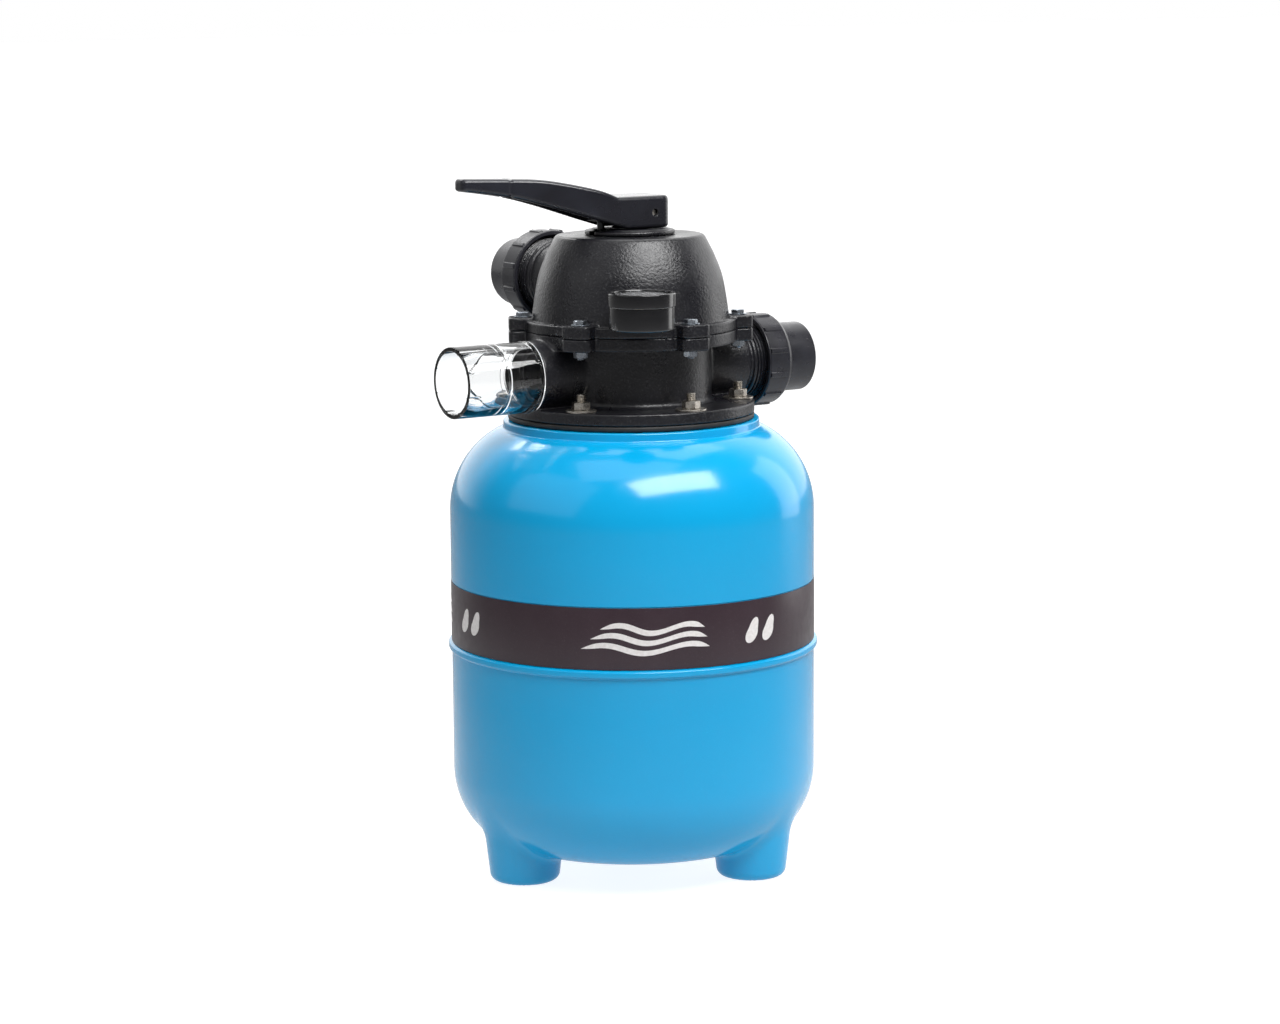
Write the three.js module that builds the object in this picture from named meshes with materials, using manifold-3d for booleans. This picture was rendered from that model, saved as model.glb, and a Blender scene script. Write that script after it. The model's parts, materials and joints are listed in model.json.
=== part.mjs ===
// A small swimming-pool sand filter: a moulded tank on three feet, a multiport valve bolted on its
// neck, a lever handle, two pipe unions, a clear sight glass and a pressure gauge.
// Millimetres, +Z up. The feet stand on z = 0 and the origin is under the middle of the outline.
// An azimuth is measured from -Y towards +X, so the waste port is at -90, return at 90, pump at 180.
import * as THREE from "three";
import { mergeVertices } from "three/addons/utils/BufferGeometryUtils.js";
import Module from "manifold-3d";

const wasm = await Module();
wasm.setup();

// ---------------------------------------------------------------- driving dimensions

const GAP = 0.3; // clearance between pieces that seat on, or turn in, each other
const WASTE = -90;
const RETURN = 90;
const PUMP = 180;
const BOLT_AZIMUTHS = [-60, 0, 60, 120, 180, -120];
const BOLT_CIRCLE = 88;

const tank = {
  radius: 150,
  wall: 4,
  underside: 22,
  crown: 4, // rise of the underside towards its middle
  corner: { across: 54, up: 63 }, // half-axes of the lower corner
  shoulder: { z: 300, radius: 74 },
  ridge: { z: 185, height: 6, out: 2.6 },
  collar: { radius: 105.2, z: 366.5 },
  neck: { bore: 66, boss: 352, top: 374 },
  facets: 28,
};

const foot = {
  azimuths: [-90, 30, 150],
  circle: 107.5,
  flat: 21.8,
  radius: 28.8,
  round: 7,
  top: 36,
  height: 68,
};

const band = { z: 191.8, height: 49.5, depth: 0.6 };

// Collector: the pipe down the middle, the hub at its foot and the slotted arms round the hub.
const pipe = { radius: 25, bore: 22.6, bottom: 46, top: 384 };
const hub = { radius: 34, bore: pipe.radius + GAP, floor: 36, top: 66 };
const arm = { count: 6, radius: 10, spigot: 7, end: 110, z: 45 };

// Slotted cage that hangs in the neck and spreads the incoming water over the sand.
const cage = {
  radius: 58,
  wall: 3,
  bottom: 318,
  top: tank.neck.boss - GAP,
  hole: 31,
  slots: 6,
  slotWidth: 7,
};

const body = {
  gasket: tank.neck.top + GAP, // underside of the flange gasket
  flange: { radius: 101.2, z: 379, top: 388.5 },
  radius: 66,
  cavity: 61,
  deck: 438, // top of the webs that the spider gasket lies on
  rim: { radius: 87, z: 437, top: 447.2 },
  ear: { width: 25, reach: 99.8, corner: 4 },
  portZ: 414,
  facets: 24,
};

// Inside the body: the spigot in the tank's neck, the tube over the standpipe, webs and a floor.
const spigot = { radius: 65.5, bottom: tank.neck.boss };
const hubTube = { radius: 29.5, bottom: 354 };
const web = { width: 3, count: 6 };
const floor = { z: 390, thick: 4 };
const gasketThick = 3;

const lid = {
  rim: { z: body.rim.top + GAP, top: 455.8, earTop: 457.8 },
  wall: 5,
  top: 524.6,
  portZ: 482.3,
  hole: 15.3,
};

const port = { neck: 29, bore: 20.5, thread: 31.5, neckEnd: 100, threadStart: 103.4, threadEnd: 122 };
const boss = { radius: 9, end: 83 }; // on the dome, for the gauge's stem
const seal = { radius: 26.2, section: 1.3, depth: 2.6 }; // O-ring in a port's end face
const lidSeal = { radius: 70.5, section: 1.4, depth: 2.9 };
const PUMP_REACH = 7.1; // how much further out the pump port stands than the return port
const union = { radius: 38, face: 113.5, length: 23.8, lip: 14.8, ribs: 12, ribWidth: 3.6, ribHeight: 1 };
const tail = { radius: 28.75, socket: 25.1, bore: 21.5, collar: 31.4, stop: 136, end: 167 };
tail.collarStart = port.threadEnd + GAP;
const pumpTail = { ...tail, end: tail.end + 0.4 };
const glass = { radius: 28.75, bore: 25.25, stop: 132, end: 170, spigot: 9.5, spigotRadius: 25.9 };
const glassFoot = port.neckEnd - glass.spigot;
const glassCollar = glass.radius + 0.6;

const gauge = {
  azimuth: -28.5,
  circle: 114,
  radius: 27,
  wall: 1.6,
  bottom: 457.5,
  bezel: 476.5,
  top: 487.3,
  stemZ: 470,
};
const dial = { z: 477.6, thick: 1, needle: 479, lens: 483.6, lensThick: 2 };

const disc = { radius: 36.8, z: lid.top + GAP + 0.1, rim: 528.4, pad: 31, padTop: 529.8 };
const stem = { radius: 15, foot: 22, bottom: 451.9, shoulder: 531, top: 547.8, tongue: 6.6 };
const pin = { x: 10.5, z: 542.8, radius: 2.5, half: 19.5 };
const finger = { s: 28, radius: 3, tip: 528.5 };

const steel = { nutWidth: 13, nutHeight: 6.5, studTop: 402.6, studBottom: 356, washer: 1.6 };
const lidBolt = { width: 10, head: 3.2, nut: 5, radius: 3, washer: 0.9, end: 430.2 };

// Bore of a piece that turns on a round one: the corners of the one clear the flats of the other.
const clearOf = (radius, facets = 20) => (radius + GAP) / Math.cos(Math.PI / facets);

// Middle of the whole outline in Y, taken off so that the origin is under it.
const pumpEnd = pumpTail.end + PUMP_REACH;
const axisY = (tank.radius + tank.ridge.out - pumpEnd) / 2;

// ---------------------------------------------------------------- materials

function finish(color, roughness, metalness = 0, opacity = 1) {
  return new THREE.MeshStandardMaterial({
    color,
    roughness,
    metalness,
    opacity,
    transparent: opacity < 1,
    flatShading: true,
  });
}

const blueShell = finish(0x06a0d8, 0.28);
const bandPrint = finish(0x2c2327, 0.35);
const blackPlastic = finish(0x26262a, 0.45);
const greyPlastic = finish(0x3a3b40, 0.35);
const whitePlastic = finish(0xdedfdc, 0.5);
const rubber = finish(0x111112, 0.75);
const stainless = finish(0xb9b4aa, 0.3, 1);
const zinc = finish(0xaab4bc, 0.35, 1);
const brass = finish(0xb08d4a, 0.35, 1);
const springSteel = finish(0x8e9094, 0.35, 1);
const clearPlastic = finish(0xe8f2f6, 0.05, 0, 0.35);
const dialWhite = finish(0xe9ecec, 0.4);
const needleBlack = finish(0x15161a, 0.4);

// ---------------------------------------------------------------- shape helpers

const radians = THREE.MathUtils.degToRad;
const point = (x, y) => new THREE.Vector2(x, y);

// A closed three.js geometry as a solid that can be joined and cut.
function solid(geometry) {
  const bare = geometry.index ? geometry.toNonIndexed() : geometry.clone();
  for (const name of Object.keys(bare.attributes)) {
    if (name !== "position") bare.deleteAttribute(name);
  }
  const merged = mergeVertices(bare, 1e-4);
  const triangles = [];
  for (let i = 0; i < merged.index.count; i += 3) {
    const [a, b, c] = [0, 1, 2].map((k) => merged.index.getX(i + k));
    if (a !== b && b !== c && c !== a) triangles.push(a, b, c);
  }
  const vertProperties = new Float32Array(merged.attributes.position.array);
  const triVerts = new Uint32Array(triangles);
  return new wasm.Manifold(new wasm.Mesh({ numProp: 3, vertProperties, triVerts }));
}

function geometryOf(shape) {
  const mesh = shape.getMesh();
  const geometry = new THREE.BufferGeometry();
  geometry.setAttribute("position", new THREE.BufferAttribute(mesh.vertProperties, 3));
  geometry.setIndex(new THREE.BufferAttribute(mesh.triVerts, 1));
  return geometry;
}

const join = (first, ...others) => others.reduce((sum, shape) => sum.add(shape), first);
const cut = (first, ...others) => others.reduce((rest, shape) => rest.subtract(shape), first);

// Turns an outline of [radius, height] points about the Z axis.
function revolved(outline, facets = 20) {
  const points = outline.map(([r, z]) => point(r, z));
  if (THREE.ShapeUtils.area(points) < 0) points.reverse();
  const onAxis = outline[0][0] === 0;
  if (!onAxis) points.push(points[0].clone());
  return new THREE.LatheGeometry(points, facets).rotateX(Math.PI / 2);
}

// The same, laid along the given azimuth at height z: heights become distances from the axis.
function revolvedOut(outline, azimuth, z, facets = 20) {
  return outward(revolved(outline, facets), azimuth, z);
}

function outward(geometry, azimuth, z) {
  return geometry.rotateX(Math.PI / 2).rotateZ(radians(azimuth)).translate(0, 0, z);
}

// A round bar from one height to another.
function bar(radius, from, to, facets = 20) {
  const height = to - from;
  return new THREE.CylinderGeometry(radius, radius, height, facets)
    .rotateX(Math.PI / 2)
    .translate(0, 0, from + height / 2);
}

function barOut(radius, from, to, azimuth, z, facets = 20) {
  return outward(bar(radius, from, to, facets), azimuth, z);
}

// Moves a geometry to a distance from the axis at an azimuth.
function placed(geometry, azimuth, distance) {
  return geometry.translate(0, -distance, 0).rotateZ(radians(azimuth));
}

function box(width, depth, from, to) {
  return new THREE.BoxGeometry(width, depth, to - from).translate(0, 0, (from + to) / 2);
}

function prism(shape, from, to, curveSegments = 6) {
  const options = { depth: to - from, bevelEnabled: false, curveSegments };
  return new THREE.ExtrudeGeometry(shape, options).translate(0, 0, from);
}

// Points of an elliptic arc, angles in degrees.
function arc(cx, cy, rx, ry, start, end, steps) {
  return Array.from({ length: steps + 1 }, (_, i) => {
    const angle = radians(start + ((end - start) * i) / steps);
    return [cx + rx * Math.cos(angle), cy + ry * Math.sin(angle)];
  });
}

function hexagon(acrossFlats, hole = 0) {
  const corner = acrossFlats / 2 / Math.cos(Math.PI / 6);
  const corners = arc(0, 0, corner, corner, 0, 300, 5);
  const shape = new THREE.Shape(corners.map(([x, y]) => point(x, y)));
  if (hole > 0) shape.holes.push(new THREE.Path().absarc(0, 0, hole, 0, Math.PI * 2, true));
  return shape;
}

function roundedRectangle(x0, y0, x1, y1, corner) {
  const shape = new THREE.Shape();
  shape.absarc(x1 - corner, y1 - corner, corner, 0, Math.PI / 2);
  shape.absarc(x0 + corner, y1 - corner, corner, Math.PI / 2, Math.PI);
  shape.absarc(x0 + corner, y0 + corner, corner, Math.PI, Math.PI * 1.5);
  shape.absarc(x1 - corner, y0 + corner, corner, Math.PI * 1.5, Math.PI * 2);
  return shape;
}

// A ring of round section, as an O-ring.
function oRing(radius, section, z, facets) {
  return revolved(arc(radius, z, section, section, 0, 288, 4), facets);
}

const filter = new THREE.Group();
filter.position.y = axisY;

function add(name, shape, material) {
  const geometry = shape.isBufferGeometry ? shape : geometryOf(shape);
  const mesh = new THREE.Mesh(geometry, material);
  mesh.name = name;
  filter.add(mesh);
  return mesh;
}

// ---------------------------------------------------------------- tank

// Half outline of the tank, drawn in by an inset: 0 outside, the wall inside.
function tankOutline(inset) {
  const { corner, shoulder, ridge, collar, neck } = tank;
  const r = tank.radius - inset;
  const low = tank.underside + inset;
  const cornerZ = tank.underside + corner.up;
  const outline = [
    [0, low + tank.crown],
    ...arc(tank.radius - corner.across, cornerZ, corner.across - inset, corner.up - inset, -90, 0, 5),
  ];
  if (inset === 0) {
    const bandTop = band.z + band.height + GAP;
    outline.push(
      [r, ridge.z],
      [r + ridge.out, ridge.z + 1],
      [r + ridge.out, ridge.z + ridge.height - 1],
      [r - band.depth, band.z - GAP],
      [r - band.depth, bandTop],
      [r, bandTop + 0.4],
    );
  }
  const shoulderTop = inset === 0 ? collar.z : neck.boss;
  const arcRadius = shoulder.radius - inset;
  const endAngle = THREE.MathUtils.radToDeg(Math.asin((shoulderTop - shoulder.z) / arcRadius));
  outline.push(...arc(tank.radius - shoulder.radius, shoulder.z, arcRadius, arcRadius, 0, endAngle, 6));
  if (inset === 0) {
    outline.push([collar.radius, collar.z], [collar.radius, neck.top], [0, neck.top]);
  } else {
    outline.push([neck.bore, neck.boss], [neck.bore, neck.top + 1], [0, neck.top + 1]);
  }
  return outline;
}

function footSolid(azimuth, inset) {
  const { flat, radius, round, top, height } = foot;
  const outline = [
    [0, inset],
    ...arc(flat, round, radius - flat - inset, round - inset, -90, 0, 3),
    [top - inset, height],
    [0, height],
  ];
  return solid(placed(revolved(outline, 14), azimuth, foot.circle));
}

function tankShell() {
  const outside = foot.azimuths.map((azimuth) => footSolid(azimuth, 0));
  const inside = foot.azimuths.map((azimuth) => footSolid(azimuth, tank.wall));
  const outer = join(solid(revolved(tankOutline(0), tank.facets)), ...outside);
  const inner = join(solid(revolved(tankOutline(tank.wall), tank.facets)), ...inside);
  const holes = boltHoles(4 + GAP, steel.studBottom - GAP, tank.neck.top + 1);
  return cut(outer, inner, ...holes);
}

// Six round holes on the bolt circle.
function boltHoles(radius, from, to) {
  return BOLT_AZIMUTHS.map((azimuth) => solid(placed(bar(radius, from, to, 8), azimuth, BOLT_CIRCLE)));
}

add("tank_shell", tankShell(), blueShell);

const bandInner = tank.radius - band.depth + GAP;
add(
  "label_band",
  revolved(
    [
      [bandInner, band.z],
      [bandInner + 0.5, band.z],
      [bandInner + 0.5, band.z + band.height],
      [bandInner, band.z + band.height],
    ],
    tank.facets,
  ),
  bandPrint,
);

// ---------------------------------------------------------------- collector in the sand bed

add(
  "standpipe",
  revolved([
    [pipe.bore, pipe.bottom + GAP],
    [pipe.radius, pipe.bottom + GAP],
    [pipe.radius, pipe.top],
    [pipe.bore, pipe.top],
  ]),
  whitePlastic,
);

function lateralHub() {
  const outline = [
    [0, hub.floor],
    [hub.radius, hub.floor],
    [hub.radius, hub.top - 4],
    [hub.radius - 4, hub.top],
    [0, hub.top],
  ];
  const cup = solid(revolved(outline));
  const bore = solid(bar(hub.bore, pipe.bottom, hub.top + 1));
  const well = solid(bar(pipe.bore - 1, hub.floor + 4, pipe.bottom + 1));
  const sockets = armAzimuths().map((azimuth) =>
    solid(barOut(clearOf(arm.spigot, 8), pipe.bore - 4, hub.radius + 1, azimuth, arm.z, 8)),
  );
  return cut(cup, bore, well, ...sockets);
}

function armAzimuths() {
  return Array.from({ length: arm.count }, (_, i) => (i * 360) / arm.count);
}

function lateral(azimuth) {
  const start = hub.bore + 1.7;
  const seat = hub.radius + GAP;
  const outline = [
    [0, start],
    [arm.spigot, start],
    [arm.spigot, seat],
    [arm.radius, seat],
    [arm.radius, arm.end - 4],
    [arm.radius - 4, arm.end],
    [0, arm.end],
  ];
  return revolvedOut(outline, azimuth, arm.z, 10);
}

add("lateral_hub", lateralHub(), whitePlastic);
armAzimuths().forEach((azimuth, i) => add(`lateral_${i + 1}`, lateral(azimuth), whitePlastic));

function topDiffuser() {
  const outline = [
    [cage.hole, cage.bottom],
    [cage.radius, cage.bottom],
    [cage.radius, cage.top],
    [cage.radius - cage.wall, cage.top],
    [cage.radius - cage.wall, cage.bottom + cage.wall],
    [cage.hole, cage.bottom + cage.wall],
  ];
  const slots = Array.from({ length: cage.slots }, (_, i) => {
    const slot = box(cage.slotWidth, 12, cage.bottom + 7, cage.top - 7);
    return solid(placed(slot, (i * 360) / cage.slots, cage.radius - 1));
  });
  return cut(solid(revolved(outline)), ...slots);
}

add("top_diffuser", topDiffuser(), whitePlastic);

// ---------------------------------------------------------------- valve body

add(
  "flange_gasket",
  cut(
    solid(
      revolved(
        [
          [spigot.radius + 1, body.gasket],
          [body.flange.radius - 1, body.gasket],
          [body.flange.radius, (body.gasket + body.flange.z) / 2],
          [body.flange.radius - 1, body.flange.z - GAP],
          [spigot.radius + 1, body.flange.z - GAP],
        ],
        body.facets,
      ),
    ),
    ...boltHoles(4.4, body.gasket - 1, body.flange.z + 1),
  ),
  rubber,
);

// Square-ended ear that carries one lid bolt.
function ear(azimuth, from, to) {
  const half = body.ear.width / 2;
  const outline = roundedRectangle(-half, -body.ear.reach, half, -body.radius + 4, body.ear.corner);
  return solid(prism(outline, from, to, 2).rotateZ(radians(azimuth)));
}

// Outline of a threaded port: plain neck, undercut, then the thread that takes the union nut.
function threadedPort(start, shift) {
  const { neck, thread, neckEnd, threadStart, threadEnd } = port;
  return [
    [0, start],
    [neck, start],
    [neck, neckEnd + shift],
    [neck - 1, neckEnd + 0.5 + shift],
    [neck - 1, threadStart - 0.6 + shift],
    [thread, threadStart + shift],
    [thread, threadEnd + shift],
    [0, threadEnd + shift],
  ];
}

// Groove in the port's end face for its O-ring.
function sealGroove(azimuth, z, shift) {
  const end = port.threadEnd + shift;
  const inner = seal.radius - seal.section - GAP;
  const outer = seal.radius + seal.section + GAP;
  const outline = [
    [inner, end - seal.depth],
    [outer, end - seal.depth],
    [outer, end + 1],
    [inner, end + 1],
  ];
  return solid(revolvedOut(outline, azimuth, z));
}

function valveBody() {
  const { flange, rim, portZ } = body;
  const outline = [
    [0, spigot.bottom],
    [spigot.radius, spigot.bottom],
    [spigot.radius, flange.z],
    [flange.radius, flange.z],
    [flange.radius, flange.top],
    [body.radius + 3, flange.top],
    [body.radius, flange.top + 5],
    [body.radius, rim.z],
    [rim.radius, rim.z],
    [rim.radius, rim.top],
    [0, rim.top],
  ];
  const neck = [[0, 50], [port.neck, 50], [port.neck, port.neckEnd - 0.5], [0, port.neckEnd - 0.5]];
  const outer = join(
    solid(revolved(outline, body.facets)),
    ...BOLT_AZIMUTHS.map((azimuth) => ear(azimuth, rim.z, rim.top)),
    solid(revolvedOut(threadedPort(50, 0), RETURN, portZ)),
    solid(revolvedOut(neck, WASTE, portZ)),
  );
  const hollow = solid(bar(body.cavity, spigot.bottom - 1, rim.top + 1, body.facets));
  return cut(
    join(cut(outer, hollow), partitions()),
    solid(barOut(port.bore, 50, 130, RETURN, portZ)),
    solid(barOut(port.bore, 50, 130, WASTE, portZ)),
    solid(barOut(glass.spigotRadius + GAP, glassFoot - GAP, port.neckEnd + 1, WASTE, portZ)),
    solid(barOut(glassCollar + GAP, port.neckEnd - 0.5, port.neckEnd + 5, WASTE, portZ)),
    sealGroove(RETURN, portZ, 0),
    solid(revolved(lidSealGroove(), body.facets)),
    ...boltHoles(4 + GAP, flange.z - 1, flange.top + 1),
    ...boltHoles(lidBolt.radius + GAP, rim.z - 1, rim.top + 1),
  );
}

// Hub tube over the standpipe, six webs up to the deck, and a floor with two windows to the tank.
function partitions() {
  const overlap = 1;
  const floorTop = floor.z + floor.thick;
  const tube = solid(bar(hubTube.radius, hubTube.bottom, body.deck));
  const plate = solid(bar(body.cavity + overlap, floor.z, floorTop, body.facets));
  const webs = Array.from({ length: web.count }, (_, i) => {
    const length = body.cavity + overlap - hubTube.radius + 2;
    const wall = box(web.width, length, floor.z, body.deck);
    return solid(placed(wall, i * 60, hubTube.radius - 2 + length / 2));
  });
  const windows = [30, 210].map((azimuth) => {
    const opening = box(26, 22, floor.z - 1, floorTop + 1);
    return solid(placed(opening, azimuth, 46));
  });
  const sideWindow = solid(placed(box(16, 14, floorTop + 4, body.deck - 8), 150, hubTube.radius));
  return cut(
    join(tube, plate, ...webs),
    solid(bar(hub.bore, hubTube.bottom - 1, pipe.top + GAP)),
    solid(bar(pipe.bore, hubTube.bottom - 1, body.deck + 1)),
    sideWindow,
    ...windows,
  );
}

function lidSealGroove() {
  const { radius, depth } = lidSeal;
  const top = body.rim.top;
  return [[radius - 2, top - depth], [radius + 2, top - depth], [radius + 2, top + 1], [radius - 2, top + 1]];
}

add("valve_body", valveBody(), blackPlastic);
add("lid_oring", oRing(lidSeal.radius, lidSeal.section, body.rim.top - 1.3, body.facets), rubber);

// Rubber ring and spokes that seal the rotor on the webs.
function spiderGasket() {
  const from = body.deck + GAP;
  const to = from + gasketThick;
  const ring = (outer, inner) => cut(solid(bar(outer, from, to)), solid(bar(inner, from - 1, to + 1)));
  const spokes = Array.from({ length: web.count }, (_, i) => {
    const length = body.cavity - hubTube.radius - 2;
    return solid(placed(box(web.width, length, from, to), i * 60, hubTube.radius - 1 + length / 2));
  });
  return join(ring(body.cavity - 0.5, body.cavity - 3.5), ring(hubTube.radius, pipe.bore), ...spokes);
}

add("spider_gasket", spiderGasket(), rubber);

// ---------------------------------------------------------------- rotor, stem and spring

const rotorZ = body.deck + GAP + gasketThick + GAP;

// Disc with one through window and one blind pocket that joins two neighbouring chambers.
function rotor() {
  const top = stem.bottom - GAP;
  const plate = solid(bar(body.cavity - 1.1, rotorZ, top, body.facets));
  const window = solid(placed(box(26, 22, rotorZ - 1, top + 1), 30, 44));
  const pocket = solid(placed(box(22, 40, rotorZ - 1, rotorZ + 5), 210, 34));
  return cut(plate, window, pocket);
}

function valveStem() {
  const { radius, bottom, shoulder, top, tongue } = stem;
  const outline = [
    [0, bottom],
    [stem.foot, bottom],
    [stem.foot, bottom + 4],
    [radius, bottom + 5],
    [radius, top],
    [0, top],
  ];
  const shaft = solid(revolved(outline));
  const flats = [-1, 1].map((side) =>
    solid(box(2 * radius + 2, radius, shoulder, top + 1).translate(0, side * (tongue + radius / 2), 0)),
  );
  const back = solid(box(radius, 2 * radius, shoulder, top + 1).translate(-8 - radius / 2, 0, 0));
  return cut(shaft, ...flats, back, pinHole(GAP));
}

function pinHole(clearance) {
  const hole = new THREE.CylinderGeometry(pin.radius + clearance, pin.radius + clearance, 60, 16);
  return solid(hole.translate(pin.x, 0, pin.z));
}

// Round-wire compression spring between the stem's foot and the inside of the lid.
function rotorSpring() {
  const coil = { radius: 20.2, wire: 1.8, turns: 5 };
  const from = stem.bottom + 4.4 + coil.wire;
  const to = lid.top - lid.wall - 2.3;
  class Helix extends THREE.Curve {
    getPoint(t, target = new THREE.Vector3()) {
      const angle = 2 * Math.PI * coil.turns * t;
      const z = from + (to - from) * t;
      return target.set(coil.radius * Math.cos(angle), coil.radius * Math.sin(angle), z);
    }
  }
  const section = new THREE.Shape(arc(0, 0, coil.wire, coil.wire, 0, 288, 4).map(([x, y]) => point(x, y)));
  return new THREE.ExtrudeGeometry(section, { steps: coil.turns * 11, extrudePath: new Helix() });
}

add("rotor", rotor(), whitePlastic);
add("valve_stem", valveStem(), greyPlastic);
add("rotor_spring", solid(rotorSpring()), springSteel);

// ---------------------------------------------------------------- valve lid

// Outline of the dome, drawn in by an inset: 0 outside, the wall inside.
function domeOutline(inset) {
  const side = new THREE.SplineCurve([
    point(81, lid.rim.top),
    point(77.8, 478),
    point(74.6, 493),
    point(69, 507.6),
    point(64.4, 517),
    point(60.5, lid.top - 1.8),
  ]);
  const points = side.getPoints(5).map(({ x, y }) => [x - inset, y - inset]);
  return [...points, [58, lid.top - inset], [0, lid.top - inset]];
}

function valveLid() {
  const { rim, portZ } = lid;
  const outline = [[0, rim.z], [body.rim.radius, rim.z], [body.rim.radius, rim.top], ...domeOutline(0)];
  const mouth = [[0, rim.z - 1], [body.radius, rim.z - 1], [body.radius + 8, rim.top]];
  const hollow = [...mouth, ...domeOutline(lid.wall)];
  const outer = join(
    solid(revolved(outline, body.facets)),
    ...BOLT_AZIMUTHS.map((azimuth) => ear(azimuth, rim.z, rim.earTop)),
    solid(revolvedOut(threadedPort(60, PUMP_REACH), PUMP, portZ)),
    solid(barOut(boss.radius, 66, boss.end, gauge.azimuth, gauge.stemZ, 16)),
  );
  return cut(
    outer,
    solid(revolved(hollow, body.facets)),
    solid(barOut(port.bore, 55, 140, PUMP, portZ)),
    sealGroove(PUMP, portZ, PUMP_REACH),
    solid(barOut(4.3, 60, boss.end + 1, gauge.azimuth, gauge.stemZ, 12)),
    solid(bar(lid.hole, rim.top, lid.top + 1)),
    solid(bar(18.7, lid.top - 3.8, lid.top + 1)),
    ...lidBoltHoles(),
  );
}

// The sixth bolt is under the pump port, so its hole is blind and opens downwards.
function lidBoltHoles() {
  return BOLT_AZIMUTHS.map((azimuth) => {
    const top = azimuth === PUMP ? lid.rim.z + 6 : lid.rim.earTop + 1;
    return solid(placed(bar(lidBolt.radius + GAP, lid.rim.z - 1, top, 8), azimuth, BOLT_CIRCLE));
  });
}

add("valve_lid", valveLid(), blackPlastic);
add("stem_seal", oRing(17, 1.4, lid.top - 2, 20), rubber);

// ---------------------------------------------------------------- handle and its disc

function thrustDisc() {
  const outline = [
    [stem.radius + GAP, disc.z],
    [disc.radius, disc.z],
    [disc.radius, disc.rim],
    [disc.pad + 1, disc.rim],
    [disc.pad, disc.padTop],
    [stem.radius + GAP, disc.padTop],
  ];
  const notch = box(20, 2 * finger.radius + 1.2, disc.z - 1, disc.padTop + 1);
  return cut(solid(revolved(outline)), solid(notch.translate(-20.5 - 10, 0, 0)));
}

// Side view of the handle, as distances from the valve's axis towards the tip, and heights.
const handle = {
  heel: -26.6,
  tip: 162,
  half: 22.5,
  wall: 3.6,
  fulcrum: [14.9, 530.2],
  top: [[24, 556.5], [43, 563.5], [85, 572.1], [118, 574.2], [158, 575.6]],
  under: [[162, 565.8], [120, 559.4], [85, 550.8], [43, 538.4]],
  plan: [[43, 20.5], [85, 14.5], [120, 10.5], [150, 9]],
};

function sideShape(lower, roof, from) {
  const shape = new THREE.Shape();
  const top = handle.top.map(([s, z]) => point(-s, z - roof));
  const under = handle.under.map(([s, z]) => point(-s, z - lower));
  shape.moveTo(-from, handle.fulcrum[1] - lower);
  shape.lineTo(-from, handle.top[0][1] - 3 - roof);
  shape.lineTo(-from - 3, handle.top[0][1] - roof);
  shape.lineTo(top[0].x, top[0].y);
  shape.splineThru(top.slice(1));
  shape.lineTo(-handle.tip, (handle.top[4][1] + handle.under[0][1]) / 2);
  shape.lineTo(under[0].x, under[0].y);
  shape.splineThru(under.slice(1));
  shape.lineTo(-handle.fulcrum[0], handle.fulcrum[1] - lower);
  return shape;
}

// Plan of the handle: square block, then a tapering arm with a round end.
function planShape(inset, tip) {
  const corner = 5 - inset;
  const half = handle.half - inset;
  const heel = -handle.heel - inset;
  const sides = [[handle.fulcrum[0] + 9, handle.half], ...handle.plan, [tip - 3, 8], [tip, 4]];
  const edge = sides.filter(([s]) => s <= tip).map(([s, w]) => point(-s, Math.max(w - inset, 1)));
  const mirrored = edge.map(({ x, y }) => point(x, -y)).reverse();
  const shape = new THREE.Shape();
  shape.moveTo(heel, half - corner);
  shape.absarc(heel - corner, half - corner, corner, 0, Math.PI / 2);
  shape.splineThru(edge);
  shape.lineTo(mirrored[0].x, mirrored[0].y);
  shape.splineThru(mirrored.slice(1));
  shape.absarc(heel - corner, -half + corner, corner, Math.PI * 1.5, Math.PI * 2);
  return shape;
}

function handleShape() {
  const side = (lower, roof, from) => {
    const options = { depth: 60, bevelEnabled: false, curveSegments: 3 };
    const slab = new THREE.ExtrudeGeometry(sideShape(lower, roof, from), options);
    return solid(slab.translate(0, 0, -30).rotateX(Math.PI / 2));
  };
  const plan = (inset, tip) => solid(prism(planShape(inset, tip), 500, 600, 3));
  const outer = side(0, 0, handle.heel).intersect(plan(0, handle.tip));
  const hollow = side(20, handle.wall - 0.2, handle.heel + handle.wall).intersect(plan(handle.wall, 128));
  const cheeks = [-1, 1].map((side) => {
    const length = handle.half - stem.tongue - 1.6;
    const cheek = new THREE.CylinderGeometry(6.5, 6.5, length, 16);
    return solid(cheek.translate(pin.x, side * (stem.tongue + GAP + length / 2), pin.z));
  });
  const fingerBar = solid(bar(finger.radius, finger.tip, 541, 12).translate(-finger.s, 0, 0));
  const fingerRoot = solid(box(2.4, 40, 536, 566).translate(-finger.s - 2, 0, 0));
  const inside = side(0, 1, handle.heel).intersect(plan(1, handle.tip));
  return cut(join(cut(outer, hollow), ...cheeks, fingerBar, fingerRoot.intersect(inside)), pinHole(GAP));
}

add("thrust_disc", thrustDisc(), blackPlastic);
add("handle", handleShape(), greyPlastic);
add(
  "handle_pin",
  new THREE.CylinderGeometry(pin.radius, pin.radius, 2 * pin.half, 16).translate(pin.x, 0, pin.z),
  stainless,
);

// ---------------------------------------------------------------- sight glass and unions

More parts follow.
